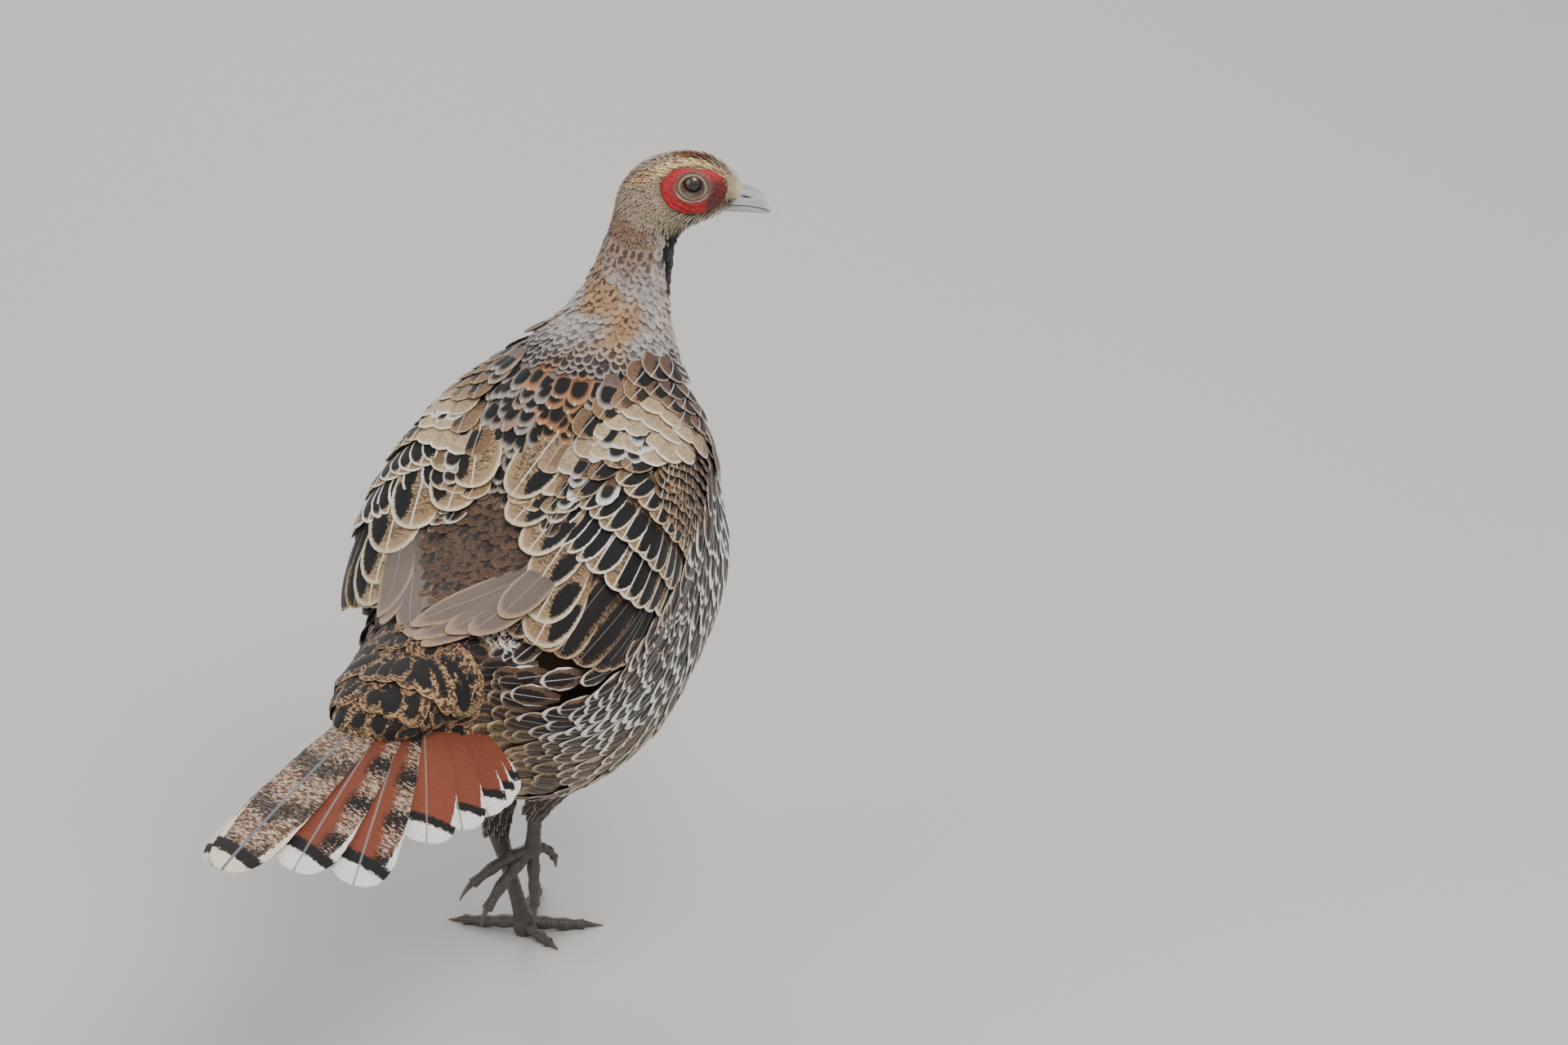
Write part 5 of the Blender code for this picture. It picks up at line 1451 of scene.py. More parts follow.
            layers = (
                (smoothstep(20, 32, x) * 0.7, "#c9ccc0"),
                # Painted shade: the lower half darkens along its top edge, where it lies under the upper
                # half.
                (smoothstep(0.12, 0.0, (top - z) / np.maximum(height, 0.1)) * 0.8, "#4f4748"),
            )
        for mask, code in layers:
            colour = paint(colour, mask, code)
        local = np.stack([x, y, z], axis=-1).reshape(-1, 3)
        grooves = 0.05 * np.sin(local[:, 0] * 5 + 2 * np.sin(local[:, 2])) * smoothstep(30, 40, local[:, 0])
        local[:, 1] += grooves * np.sign(local[:, 1]) * (np.abs(local[:, 1]) > 0.4)
        points = (self.form.head_at + local @ self.form.head_axes.T).reshape(steps, around, 3)
        name = "bill_horn_upper" if upper else "bill_horn_lower"
        return capped(name, points, points[[0, -1]].mean(axis=1), finish, colour, 50.0)


@dataclass
class FoldedWing:
    """One folded wing: the arm's skin, and its feathers tier over tier.

    Each line runs along a tier's feather tips from the back outward, in millimetres forward, out from
    the bird's middle, and up. The left wing lies further from the back than the right one.
    """

    form: BodyForm
    loft: SkinLoft
    side: Side
    seed: int = 41
    tertials: tuple = ((-20, 5, 251), (-33, 12, 244), (-44, 27, 237), (-55, 39, 228), (-66, 44, 217),
                       (-73, 47, 209))
    greater: tuple = ((-26, 24, 250), (-38, 40, 241), (-43, 57, 238), (-41, 73, 226), (-31, 78, 215),
                      (-12, 78, 202), (6, 77, 190))
    median: tuple = ((-14, 30, 257), (-24, 49, 253), (-28, 67, 247), (-24, 77, 236), (-12, 79, 220),
                     (4, 79, 205))
    third: tuple = ((-8, 56, 262), (-11, 70, 254), (-5, 78, 242), (6, 79, 227), (18, 78, 214))
    rear: tuple = ((-75, 36, 212), (-71, 53, 205), (-61, 69, 196), (-47, 75, 193), (-28, 78, 190),
                   (-8, 78, 180))
    rng: np.random.Generator = field(init=False)

    def __post_init__(self) -> None:
        """Starts the wing's own random numbers."""
        self.rng = np.random.default_rng(self.seed + self.side.value)

    def spots(self, rows: Array) -> Array:
        """Points from rows forward, out and up; the left wing's inner ones stand further out."""
        forward, out, up = np.asarray(rows, float).T
        lag = 13.0 * smoothstep(-80, -40, forward) * smoothstep(70, 30, out) * (self.side is Side.LEFT)
        return self.form.placed(forward, (out + lag) * self.side.value, up)

    def build_skin(self, finish: Finish) -> Thing:
        """The arm under its feathers: a dish of shrinking superellipses settled under the wing's bulge."""
        around, rings = 72, 22
        a = circle(around)
        shape = np.stack([np.cos(a), np.sin(a)], axis=1)
        power = np.sum(np.abs(shape) ** ARM_POWER, axis=1) ** (-1 / ARM_POWER)
        share = np.linspace(1.0, 0.02, rings)[:, None]
        x = ARM_MIDDLE[0] + share * shape[:, 0] * power * ARM_HALF[0]
        z = ARM_MIDDLE[1] + share * shape[:, 1] * power * ARM_HALF[1]
        p = self.form.wing_point(self.side, x, 8.0, z).reshape(-1, 3)
        depth = np.repeat(-3.8 - 4.0 * smoothstep(0.80, 1.0, share[:, 0]), around)
        p = settle(self.form.winged, p, depth, 8)
        loops, sizes = grid_faces(rings, around, True)
        tone = rgb("#3a2b21") * (0.7 + 0.6 * ripple(p, 9, 4)[:, None])
        thing = mesh_object(f"wing_skin_{self.side.label}", p, loops, sizes, finish, values={"ground": tone})
        mesh = thing.data
        normal = np.array(mesh.polygons[len(mesh.polygons) // 2].normal)
        _, turn = self.form.wing_frame(self.side)
        if normal @ turn[:, 1] * self.side.value < 0:
            mesh.flip_normals()
        return thing

    def lay(self, name: str, cut: Cut, tip: Array, length: Array, spread: Array, half: Array, lifts: Array,
            tilt: float, marks: Marks, finish: Finish) -> Thing:
        """Lays one tier back from its tips along the wing.

        Args:
            name: the tier's name.
            cut: outline of its vanes.
            tip: points of the tips.
            length: lengths of the feathers.
            spread: how far each root lies outward, as a share of its way forward.
            half: half widths.
            lifts: field level at root and tip, one pair per feather.
            tilt: rise of the inner edge per millimetre.
            marks: their markings.
            finish: their plumage.

        Returns:
            The piece.
        """
        _, turn = self.form.wing_frame(self.side)
        n = gradient(self.form.winged, tip)
        out = np.cross(n, turn[:, 0]) * self.side.value
        out = out * np.sign(np.sum(out * turn[:, 1] * self.side.value, axis=1, keepdims=True) + 1e-6)
        way = unit(turn[:, 0] + out * spread[:, None] + self.rng.normal(0, 0.03, tip.shape))
        root = tip + way * length[:, None]
        tilts = np.full(len(tip), tilt * self.side.value) + self.rng.normal(0, 0.01, len(tip))
        vanes = Vanes.laid(cut, self.form.winged, root, tip, half, lifts, tilts, marks, self.rng)
        vanes.mirror = float(self.side.value)
        return vanes.mesh(f"{name}_{self.side.label}", finish, self.loft)

    def build_coverts(self, lesser: Finish,
                      greater: Finish) -> list[Thing]:
        """Lesser coverts in close rows over the shoulder, then three rows with pale tips."""
        made = []
        spot = staggered(np.arange(4, 84, 4.6), np.arange(-40, 48, 6.0), 3.0)
        spot = spot + self.rng.uniform(-0.8, 0.8, spot.shape)
        tip = settle(self.form.winged, self.form.wing_point(self.side, spot[:, 0], 12.0, spot[:, 1]), 1.0, 6)
        ahead = -tip[:, 1] - np.interp(tip[:, 2], (190, 214, 227, 242, 254, 262), (26, 18, 6, -4, -10, -6))
        out = np.abs(tip[:, 0] - self.form.mid_x)
        inner = np.interp(-tip[:, 1], (0, 30, 60), (48, 60, 64))
        stay = (ahead > 4) & (above_flank(tip) > -9) & (out > inner)
        tip, ahead = tip[stay], ahead[stay]
        n = len(tip)
        marks = Marks.plain(n, "#8a6a4c", "#b8966f", "#17110e", (0.8, 0.5, 0.8))
        warm = smoothstep(14, 40, ahead)
        marks.lay(warm, "#6c4c37", "#8f6a4e", dose=(0.7, 0.5, 0.5)).vary(self.rng, 0.12, 0.18)
        lifts = np.tile((-2.4, 2.6), (n, 1)) + self.rng.normal(0, 0.15, (n, 1))
        cut = Cut(rows=8, cols=7, widest=0.5, tip=2.0, crown=0.16)
        made.append(self.lay("lesser_coverts", cut, tip, 15 - 4 * warm, np.full(n, 0.05),
                             5.6 - 1.3 * warm, lifts, 0.10, marks, lesser))
        cut = Cut(rows=16, cols=9, widest=0.60, tip=2.1, crown=0.12, ragged=0.03, ridge=0.15)
        for name, line, count, long, half, lift, tone in (
                ("greater_coverts", self.greater, 14, 36, 9.6, (-2.6, 1.2), "#eee6d8"),
                ("median_coverts", self.median, 13, 27, 8.6, (-2.0, 2.0), "#e2d3ba"),
                ("third_coverts", self.third, 10, 21, 7.0, (-1.8, 2.5), "#cdb693")):
            tip = self.spots(table(line, count) + self.rng.uniform(-0.9, 0.9, (count, 3)))
            share = np.linspace(0, 1, count)
            marks = Marks.plain(count, "#a3835f", tone, "#100c0b", (1.1, 0.9, 1.0)).vary(self.rng, 0.07, 0.07)
            lifts = np.tile(lift, (count, 1)) + 0.5 * (1 - share)[:, None]
            smaller = 1 - 0.2 * share
            made.append(self.lay(name, cut, tip, long * smaller, 0.30 - 0.45 * share, half * smaller,
                                 lifts, 0.10, marks, greater))
        return made

    def build_flight(self, tertial: Finish, flight: Finish) -> list[Thing]:
        """Stacked broad tertials, and the edges of the secondaries under them."""
        fine = Cut(rows=24, cols=15, widest=0.62, tip=2.2, crown=0.10, ragged=0.02, ridge=0.25)
        tip = self.spots(self.tertials)
        n = len(tip)
        share = np.linspace(0, 1, n)
        lifts = np.stack([np.full(n, -1.5), 4.0 - 2.9 * share], axis=1)
        marks = Marks.plain(n, "#b08f68", "#e0cdab", "#120e0c", (1.0, 0.8, 1.0)).vary(self.rng, 0.05, 0.04)
        made = [self.lay("tertials", fine, tip, np.full(n, 52.0), 0.34 - 0.1 * share, np.full(n, 13.8),
                         lifts, 0.03, marks, tertial)]
        n = 13
        share = np.linspace(0, 1, n)
        lifts = np.stack([np.full(n, -3.2), 0.1 + 0.4 * share], axis=1)
        marks = Marks.plain(n, "#5f4735", "#b99a74", "#1a1310", (0.9, 0.7, 0.3)).vary(self.rng, 0.07, 0.05)
        cut = Cut(rows=20, cols=11, widest=0.70, tip=2.2, crown=0.10, ragged=0.02, ridge=0.2)
        tip = self.spots(table(self.rear, n))
        made.append(self.lay("secondaries", cut, tip, 56 - 8 * share, 0.25 - 0.4 * share,
                             np.full(n, 9.5), lifts, 0.12, marks, flight))
        return made

    def build_primaries(self, finish: Finish) -> Thing:
        """The long grey-brown primaries, crossed over the rump with the right wing's on top."""
        right = self.side is Side.RIGHT
        tips = ((-105, 6, 211), (-103, 1, 212), (-97, -4, 215), (-94, 12, 213), (-89, 21, 214),
                (-74, 29, 218))
        if not right:
            tips = ((-106, -8, 210), (-101, 1, 211), (-94, 20, 211), (-88, 26, 211))
        forward, out, up = np.array(tips, float).T
        tip = self.form.placed(forward, out * self.side.value, up)
        n = len(tip)
        share = np.linspace(0, 1, n)
        root = self.form.placed(-38 + 6 * share, (42 + 5 * share) * self.side.value, 236.0)
        lifts = np.stack([np.full(n, 0.4), (2.4 if right else 1.0) + 2.2 * share], axis=1)
        marks = Marks.plain(n, "#76675c", "#b09074", "#3b3029", (0.0, 0.8, 0.6)).vary(self.rng, 0.04, 0.05)
        cut = Cut(rows=24, cols=11, widest=0.62, tip=1.8, crown=0.10, ragged=0.015, ridge=0.25)
        tilts = np.full(n, 0.04 * self.side.value)
        half = 8.2 + 1.2 * share
        vanes = Vanes.laid(cut, self.form.winged, root, tip, half, lifts, tilts, marks, self.rng)
        return vanes.mesh(f"primaries_{self.side.label}", finish, self.loft)

    def build_scapulars(self, finish: Finish) -> Thing:
        """Shoulder feathers laid from above: blotched brown behind, a cream patch, grey in front."""
        spot = staggered(np.arange(-24, 58, 7.5), np.arange(0, 84, 8.6), 4.3)
        f, o = (spot + self.rng.uniform(-1.2, 1.2, spot.shape)).T
        lag = 11.0 if self.side is Side.LEFT else 0.0
        inner = np.interp(f, (-24, -10, 0, 30, 66), (5, 8, 24, 32, 44)) + lag * smoothstep(60, 0, f)
        outer = np.interp(f, (-24, -6, 6, 16, 66), (42, 54, 66, 72, 70))
        stay = (o > inner) & (o < outer)
        f, o, inner = f[stay], o[stay], inner[stay]
        n = len(f)
        tip = self.form.top(f, o * self.side.value)
        marks = Marks.plain(n, "#8b6a4a", "#b3946c", "#14100d", (1.0, 0.5, 0.6))
        marks.lay(smoothstep(24, 44, f), "#6f5443", "#9b8a7a", "#120e0d", (1.1, 0.9, 0.9))
        if self.side is Side.RIGHT:
            middle = np.interp(o, (24, 34, 50, 70), (-12, 2, 10, 14))
        else:
            middle = np.interp(o, (30, 50, 76), (-8, -10, 4))
        cream = smoothstep(19, 12, np.abs(f - middle - 6)) * smoothstep(inner + 2, inner + 12, o)
        marks.lay(cream, "#cdb08a", "#efe4d0", "#b08d66", (0.0, 1.0, 0.15))
        marks.lay(smoothstep(-14, -22, f), "#9c7c58", "#d9c5a2", "#14100d", (0.9, 0.9, 0.7))
        marks.vary(self.rng, 0.06, 0.1)
        lifts = np.tile((-0.8, 3.6), (n, 1)) + self.rng.normal(0, 0.15, (n, 1))
        cut = Cut(rows=10, cols=7, widest=0.55, tip=2.1, crown=0.16, ragged=0.05)
        return self.lay("scapulars", cut, tip, np.full(n, 22.0), np.full(n, 0.2), np.full(n, 8.4),
                        lifts, 0.03, marks, finish)


@dataclass
class FannedTail:
    """Sixteen graduated tail feathers fanned to the right, with coverts over and under their roots."""

    form: BodyForm
    loft: SkinLoft
    base: tuple[float, float, float] = (-92, 2, 200)
    tip: tuple[float, float, float] = (-257, -9, 169)
    step: float = 1.5
    right: tuple = ((168, 1, 4, 4, 31), (151, 10.7, 12, 17, 31), (144, 21, 18, 23, 31), (107, 35, 22, 27, 30),
                    (95, 46, 25, 30, 29), (86, 57, 28, 32, 28), (82, 64, 30, 34, 27), (78, 70, 31, 35, 26))
    left: tuple = ((165, 2, 16, 8, 30), (148, 9, 42, 38, 24), (139, 13, 48, 46, 22), (106, 18, 51, 50, 22),
                   (96, 22, 52, 51, 22), (88, 26, 52, 52, 22), (82, 30, 52, 52, 22), (78, 34, 52, 52, 22))
    rng: np.random.Generator = field(default_factory=lambda: np.random.default_rng(77))

    def rows(self, side: Side) -> Array:
        """One half's feathers: reach, degrees off the ridge, two slopes and the width."""
        return np.array(self.right if side is Side.RIGHT else self.left, float)

    def roots(self, side: Side) -> tuple[Array, Array]:
        """How far under the ridge each feather of a half lies, and the points of their roots."""
        rows = self.rows(side)
        i = np.arange(len(rows))
        depth = -self.step * (i + (0.7 if side is Side.LEFT else 0.0))
        return depth, self.point(side, 16 + 0.5 * i, rows[:, 1] * 0.9, rows[:, 2], depth * 0.5 - 2.0)

    def frame(self) -> tuple[Array, Array, Array]:
        """Root of the fan, its ridge direction, and the level direction to the bird's right of it."""
        base, tip = self.form.placed(*self.base), world(*self.tip)
        ridge = unit(tip - base)
        right = unit(np.cross(ridge, np.array([0.0, 0.0, 1.0])))
        return base, ridge, right if right[0] < 0 else -right

    def half_fan(self, side: Side, slope: Array) -> tuple[Array, Array]:
        """Sideways direction of one half of the fan where it slopes down, and the normal over it."""
        _, ridge, right = self.frame()
        down = np.cross(ridge, right)
        down = down if down[2] < 0 else -down
        s = np.radians(slope)[..., None]
        aside = -side.value * right * np.cos(s) + down * np.sin(s)
        return aside, -down * np.cos(s) - side.value * right * np.sin(s)

    def point(self, side: Side, reach: Array, angle: Array, slope: Array, height: Array) -> Array:
        """Points of the fan from reach, degrees off the ridge, slope there and height over it."""
        base, ridge, _ = self.frame()
        aside, normal = self.half_fan(side, slope)
        a = np.radians(angle)
        return (base + ridge * (reach * np.cos(a))[:, None] + aside * (reach * np.sin(a))[:, None]
                + normal * np.asarray(height)[:, None])

    def build_feathers(self, side: Side, centre: Finish, spotted: Finish,
                       outer: Finish) -> list:
        """Tail feathers of one half, each under its inner neighbour; the middle one is mottled grey-brown.

        Args:
            side: which half.
            centre: plumage of the middle feather.
            spotted: plumage of the next two, which are chestnut with a mottled edge.
            outer: plumage of the plain chestnut ones.

        Returns:
            The pieces.
        """
        rows = self.rows(side)
        i = np.arange(len(rows))
        depth, root = self.roots(side)
        tip = self.point(side, rows[:, 0], rows[:, 1], rows[:, 2], depth)
        normal = self.half_fan(side, rows[:, 3])[1]
        n = len(rows)
        marks = Marks.plain(n, "#85422a", "#f0ebe2", "#15100e", (1.0, 0.0, 0.8))
        marks.lay((i == 0).astype(float), "#8a6a50", "#e6d6be", "#1d1613", (0.85, 0.0, 1.0))
        marks.vary(self.rng, 0.05, 0.03)
        cut = Cut(rows=34, cols=15, widest=0.80, tip=2.3, quill=0.42, crown=0.07, ragged=0.015, ridge=0.45)
        made = []
        kinds = (("tail_middle", i == 0, centre), ("tail_spotted", (i > 0) & (i < 3), spotted),
                 ("tail_chestnut", i > 2, outer))
        for name, pick, finish in kinds:
            part = Marks(*(getattr(marks, k)[pick] for k in ("ground", "fringe", "blotch", "dose")))
            vanes = Vanes.straight(cut, root[pick], tip[pick], rows[pick, 4] / 2, normal[pick], 2.0,
                                   0.06, part, self.rng)
            vanes.mirror = float(side.value)
            made.append(vanes.mesh(f"{name}_{side.label}", finish, self.loft))
        return made

    def roof(self, p: Array) -> Array:
        """The tail's root and the roof of its fan together, which the upper coverts lie over."""
        planes = []
        for side, picks in ((Side.RIGHT, (0, 1, 3, 6)), (Side.LEFT, (0, 1, 3))):
            rows, (_, root) = self.rows(side), self.roots(side)
            planes += [(p - root[i]) @ self.half_fan(side, rows[i, 3])[1] for i in picks]
        return smooth_min(self.form.trunk(p), np.max(planes, axis=0) - 0.8, 8)

    def build_coverts(self, finish: Finish, plain: Finish) -> list:
        """Three tiers of mottled upper coverts round the fan's root, and buff ones under it."""
        made = []
        tips, roots, half, lifts = [], [], [], []
        for tier, (reach, width, count) in enumerate(((70, 9.5, 7), (54, 9.0, 8), (38, 8.5, 8))):
            for side, widest, n in ((Side.RIGHT, 68, count), (Side.LEFT, 46, count // 2)):
                angle = (np.arange(n) + 0.3 + 0.35 * (tier % 2)) / n * widest
                rows = self.rows(side)
                slope = np.interp(angle, rows[:, 1], rows[:, 2])
                long = reach - 0.13 * angle + self.rng.uniform(-2, 2, n)
                tips.append(self.point(side, long, angle, slope, np.full(n, 6.0)))
                roots.append(self.point(side, long - 30, angle * 0.8, slope, np.full(n, 9.0)))
                half.append(np.full(n, width))
                lifts.append(np.tile((-1.8, 1.4 + 0.7 * tier), (n, 1)) + self.rng.normal(0, 0.15, (n, 1)))
        tips, roots, half, lifts = (np.concatenate(v) for v in (tips, roots, half, lifts))
        n = len(tips)
        marks = Marks.plain(n, "#543b2a", "#c49c6e", "#15100d", (0.9, 0.3, 0.0)).vary(self.rng, 0.09, 0.2)
        cut = Cut(rows=12, cols=9, widest=0.6, tip=2.1, crown=0.12, ragged=0.04)
        tilts = self.rng.normal(0, 0.03, n)
        vanes = Vanes.laid(cut, self.roof, roots, tips, half, lifts, tilts, marks, self.rng)
        made.append(vanes.mesh("tail_coverts", finish, self.loft))
        tips, roots, normal = [], [], []
        for reach, height, count in ((62, -13.0, 5), (48, -15.0, 5), (34, -16.0, 4)):
            for side, widest, n in ((Side.RIGHT, 56, count), (Side.LEFT, 30, count - 2)):
                angle = (np.arange(n) + 0.4) / n * widest
                slope = np.full(n, 20.0)
                long = reach + self.rng.uniform(-2, 2, n)
                tips.append(self.point(side, long, angle, slope, np.full(n, height)))
                start = np.full(n, reach - 36.0)
                roots.append(self.point(side, start, angle * 0.7, slope, np.full(n, height + 6)))
                normal.append(-self.half_fan(side, slope)[1])
        tips, roots, normal = (np.concatenate(v) for v in (tips, roots, normal))
        n = len(tips)
        marks = Marks.plain(n, "#b08b5e", "#d6c09a", "#3a2a1f", (0.6, 0.7, 0.3)).vary(self.rng, 0.08, 0.1)
        vanes = Vanes.straight(cut, roots, tips, np.full(n, 11.0), normal, 1.5, 0.08, marks, self.rng)
        made.append(vanes.mesh("tail_under_coverts", plain, self.loft))
        return made


@dataclass
class Leg:
    """A feathered thigh, a scaled shank and a foot with its claws."""

    form: BodyForm
    loft: SkinLoft
    side: Side
    thighs: dict = field(default_factory=lambda: {
        Side.LEFT: ((4, 25, 130), 21.0, (-15, 4.6, 66), 6.4),
        Side.RIGHT: ((2, -27, 130), 20.0, (-8, -14.4, 79), 6.0)})
    tarsi: dict = field(default_factory=lambda: {
        Side.LEFT: ((-15, 4.6, 68), (0, 0, 9.0)), Side.RIGHT: ((-8, -14.4, 81), (-8, -12, 56))})
    shank: tuple[float, ...] = (5.6, 4.6, 3.7, 3.6, 3.8, 4.6)
    standing: tuple = ((35.0, 15.0, 3.7, 2.5), (-6.5, 30.5, 3.5, 2.4), (20.0, -22.5, 3.5, 2.4),
                       (-3.5, -17.5, 3.0, 2.2))
    raised: tuple = ((-40, 2, 48), (-40, -6, 36), (-12, -15, 27), (3, -17, 47))
    raised_radii: tuple[float, ...] = (3.4, 3.5, 3.4, 2.6)
    claws: tuple[float, ...] = (11.0, 9.5, 10.5, 7.0)

    def tube(self, name: str, path: Array, radii: Array, finish: Finish, scales: float,
             relief: float, around: int = 28, floor: bool = False,
             tone: str = "#4d443c") -> Thing:
        """A scaled limb along a path.

        Each scale is a saw tooth, frac(s / scales), that stands out on the front and fades behind; its low
        start after each step is painted darker as shade.

        Args:
            name: the piece's name.
            path: centre line in millimetres.
            radii: radius at each point of it.
            finish: its skin.
            scales: length of one scale in millimetres.
            relief: height of a scale's edge.
            around: points round it.
            floor: keeps it over the floor.
            tone: colour of the scales.

        Returns:
            The piece.
        """
        tangent = unit(np.gradient(path, axis=0))
        steep = abs(tangent[len(path) // 2, 2]) > 0.7
        guide = np.array([0.0, -1.0, 0.0] if steep else [0.0, 0.0, 1.0])
        front = unit(guide - tangent * (tangent @ guide)[:, None])
        across = np.cross(tangent, front)
        a = (np.arange(around) + 0.5) * 2 * math.pi / around
        facing = np.cos(a)
        s = np.concatenate([[0], np.cumsum(np.linalg.norm(np.diff(path, axis=0), axis=1))])
        tooth = np.mod(s / scales, 1.0)
        shield = smoothstep(-0.15, 0.55, facing)
        height = relief * (tooth[:, None] ** 1.3 - 0.5) * shield
        grain = relief * 0.5 * np.sin(s[:, None] * 4.2) * np.sin(a[None] * 9) * (1 - shield)
        r = radii[:, None] + height + grain
        points = (path[:, None] + front[:, None] * (r * facing)[..., None]
                  + across[:, None] * (r * np.sin(a))[..., None])
        if floor:
            points[..., 2] = np.maximum(points[..., 2], 0.0)
        # Painted shade: the ground darkens in the low start of each scale, at the foot of the step of the one
        # before it, on the front where the scales stand out.
        seam_shade = (1 - smoothstep(0.0, 0.16, tooth))[:, None] * shield
        shade = 1.05 - 0.55 * seam_shade + 0.10 * np.sin(s[:, None] * 0.9 + 2 * facing)
        ground = rgb(tone) * np.clip(shade, 0.2, 1.4)[..., None]
        ends = np.stack([path[0], path[-1] + tangent[-1] * radii[-1] * 0.5])
        if floor:
            ends[:, 2] = np.maximum(ends[:, 2], 0.2)
        return capped(name, points, ends, finish, ground, 80.0)

    def build_shank(self, finish: Finish) -> Thing:
        """The bare shank, ringed by broad shields in front."""
        top, foot = (world(*q) for q in self.tarsi[self.side])
        u = np.linspace(0, 1, 110)
        path = top * (1 - u[:, None]) + foot * u[:, None]
        radii = np.interp(u, np.linspace(0, 1, len(self.shank)), self.shank) - 0.15
        return self.tube(f"shank_{self.side.label}", path, radii, finish, 4.2, 0.42)

    def toe_paths(self) -> list[tuple[Array, Array]]:
        """Centre line and radii of each toe, with a pad that swells under each joint."""
        out = []
        u = np.linspace(0, 1, 70)
        if self.side is Side.LEFT:
            for forward, left, thick, thin in self.standing:
                radii = thick + (thin - thick) * u
                lift = 4.6 * (1 - u) ** 2 + radii * 0.78 + np.sin(u * math.pi) * 0.6
                path = np.stack([left * u, -forward * u, lift], axis=1)
                out.append((path, radii + 0.30 * np.cos(u * 6 * math.pi) + 0.1))
            return out
        joint = world(*self.tarsi[Side.RIGHT][1])
        for tip, radius in zip(self.raised, self.raised_radii):
            chord = world(*tip) - joint
            bow = unit(np.cross(chord, np.cross(np.array([0.0, 0.0, 1.0]), chord)))
            path = joint + u[:, None] * chord + np.sin(u * math.pi)[:, None] * bow * 2.4
            out.append((path, radius * (1 - 0.28 * u) + 0.28 * np.cos(u * 6 * math.pi)))
        return out

    def build_foot(self, finish: Finish, horn: Finish) -> list[Thing]:
        """Four toes with ringed scales over a hub, and a curved claw on each."""
        made = []
        foot = world(*self.tarsi[self.side][1])
        if self.side is Side.LEFT:
            hub = np.stack([np.zeros(40), np.zeros(40), np.linspace(11.5, 0.3, 40)], axis=1)
            radii = np.interp(hub[:, 2], (0, 2.6, 6, 9.5, 13), (4.0, 4.9, 5.0, 4.7, 4.4))
        else:
            hub = foot + np.stack([np.zeros(40), np.zeros(40), np.linspace(1.5, -5.2, 40)], axis=1)
            radii = 4.6 * np.sqrt(np.clip(1 - (np.linspace(-0.2, 0.97, 40)) ** 2, 0.02, 1))
        made.append(self.tube(f"ankle_pad_{self.side.label}", hub, radii, finish, 2.6, 0.2))
        for i, (path, radii) in enumerate(self.toe_paths()):
            made.append(self.tube(f"toe_{self.side.label}_{i + 1}", path, radii, finish, 2.3, 0.30, 24,
                                  self.side is Side.LEFT))
            way = unit(path[-1] - path[-2])
            down = np.array([0, 0, -1.0])
            down = down if self.side is Side.LEFT else unit(down + way * way[2])
            u = np.linspace(0, 1, 30)
            start = path[-1] - way * 0.8 + np.array([0, 0, 0.35])
            long = self.claws[i]
            line = start + u[:, None] * way * long + (u ** 2)[:, None] * down * long * 0.32
            thick = min(1.8, radii[-1] - 0.3) * (1 - 0.88 * u ** 1.2)
            if self.side is Side.LEFT:
                line[:, 2] = np.maximum(line[:, 2], thick * 0.9)
            made.append(self.tube(f"claw_horn_{self.side.label}_{i + 1}", line, thick, horn, 30.0, 0.0, 16,
                                  self.side is Side.LEFT, "#57473a"))
        return made

    def build_thigh(self, skin: Finish, finish: Finish) -> list[Thing]:
        """The thigh's skin and its dusky feathers, which shorten towards the ankle."""
        hip, wide, ankle, narrow = self.thighs[self.side]
        start, end = self.form.placed(*hip), world(*ankle)
        axis = unit(end - start)
        end = end + axis * 2.0
        reach = float(np.linalg.norm(end - start))
        across = unit(np.cross(axis, np.array([0.0, 1.0, 0.0])))
        rise = np.cross(across, axis)

        def girth(u: Array) -> Array:
            """Radius at a share of the way down: n + (w - n) (1 - u)^1.3."""
            return narrow + (wide - narrow) * (1 - np.clip(u, 0, 1)) ** 1.3

        def drum(p: Array) -> Array:
            """Distance to the thigh: length off its axis less its radius there."""
            u = np.clip((p - start) @ axis / reach, -0.2, 1.0)
            off = p - start - axis * (u * reach)[..., None]
            return np.linalg.norm(off, axis=-1) - girth(u)

        def flesh(p: Array) -> Array:
            """The thigh blended into the body."""
            return smooth_min(drum(p), self.form.bird(p), 6)

        u = np.linspace(-0.15, 1, 40)
        a = circle(40)
        ring = np.cos(a)[:, None] * across + np.sin(a)[:, None] * rise
        radii = girth(u) - 1.6 - 6 * np.clip(-u, 0, 1)
        points = start + axis * (u * reach)[:, None, None] + ring[None] * radii[:, None, None]
        ends = np.stack([start - axis * 0.15 * reach, end])
        ground = np.broadcast_to(rgb("#3b3029"), points.shape)
        made = [capped(f"thigh_skin_{self.side.label}", points, ends, skin, ground)]
        rng = np.random.default_rng(61 + self.side.value)
        roots, ways, scale = [], [], []
        for i, s in enumerate(np.arange(0.0, 0.99, 0.045)):
            r = girth(s) - 1.6
            count = max(9, int(2 * math.pi * r / 3.6))
            b = (np.arange(count) + 0.5 * (i % 2) + rng.uniform(-0.2, 0.2, count)) * 2 * math.pi / count
            out = np.cos(b)[:, None] * across + np.sin(b)[:, None] * rise
            roots.append(start + axis * s * reach + out * r)
            ways.append(np.tile(axis, (count, 1)))
            scale.append(np.full(count, s))
        p, way, s = np.concatenate(roots), np.concatenate(ways), np.concatenate(scale)
        stay = self.form.bird(p) > -1.0
        p, way, s = p[stay], way[stay], s[stay]
        n = len(p)
        length = (13.5 - 7.5 * s) * np.exp(rng.normal(0, 0.08, n))
        half = 3.4 - 1.7 * s
        tip = p + unit(way + rng.normal(0, 0.06, (n, 3))) * length[:, None]
        lifts = np.stack([-1.5 + 0 * s, 0.9 - 0.4 * s], axis=1) + rng.normal(0, 0.15, (n, 1))
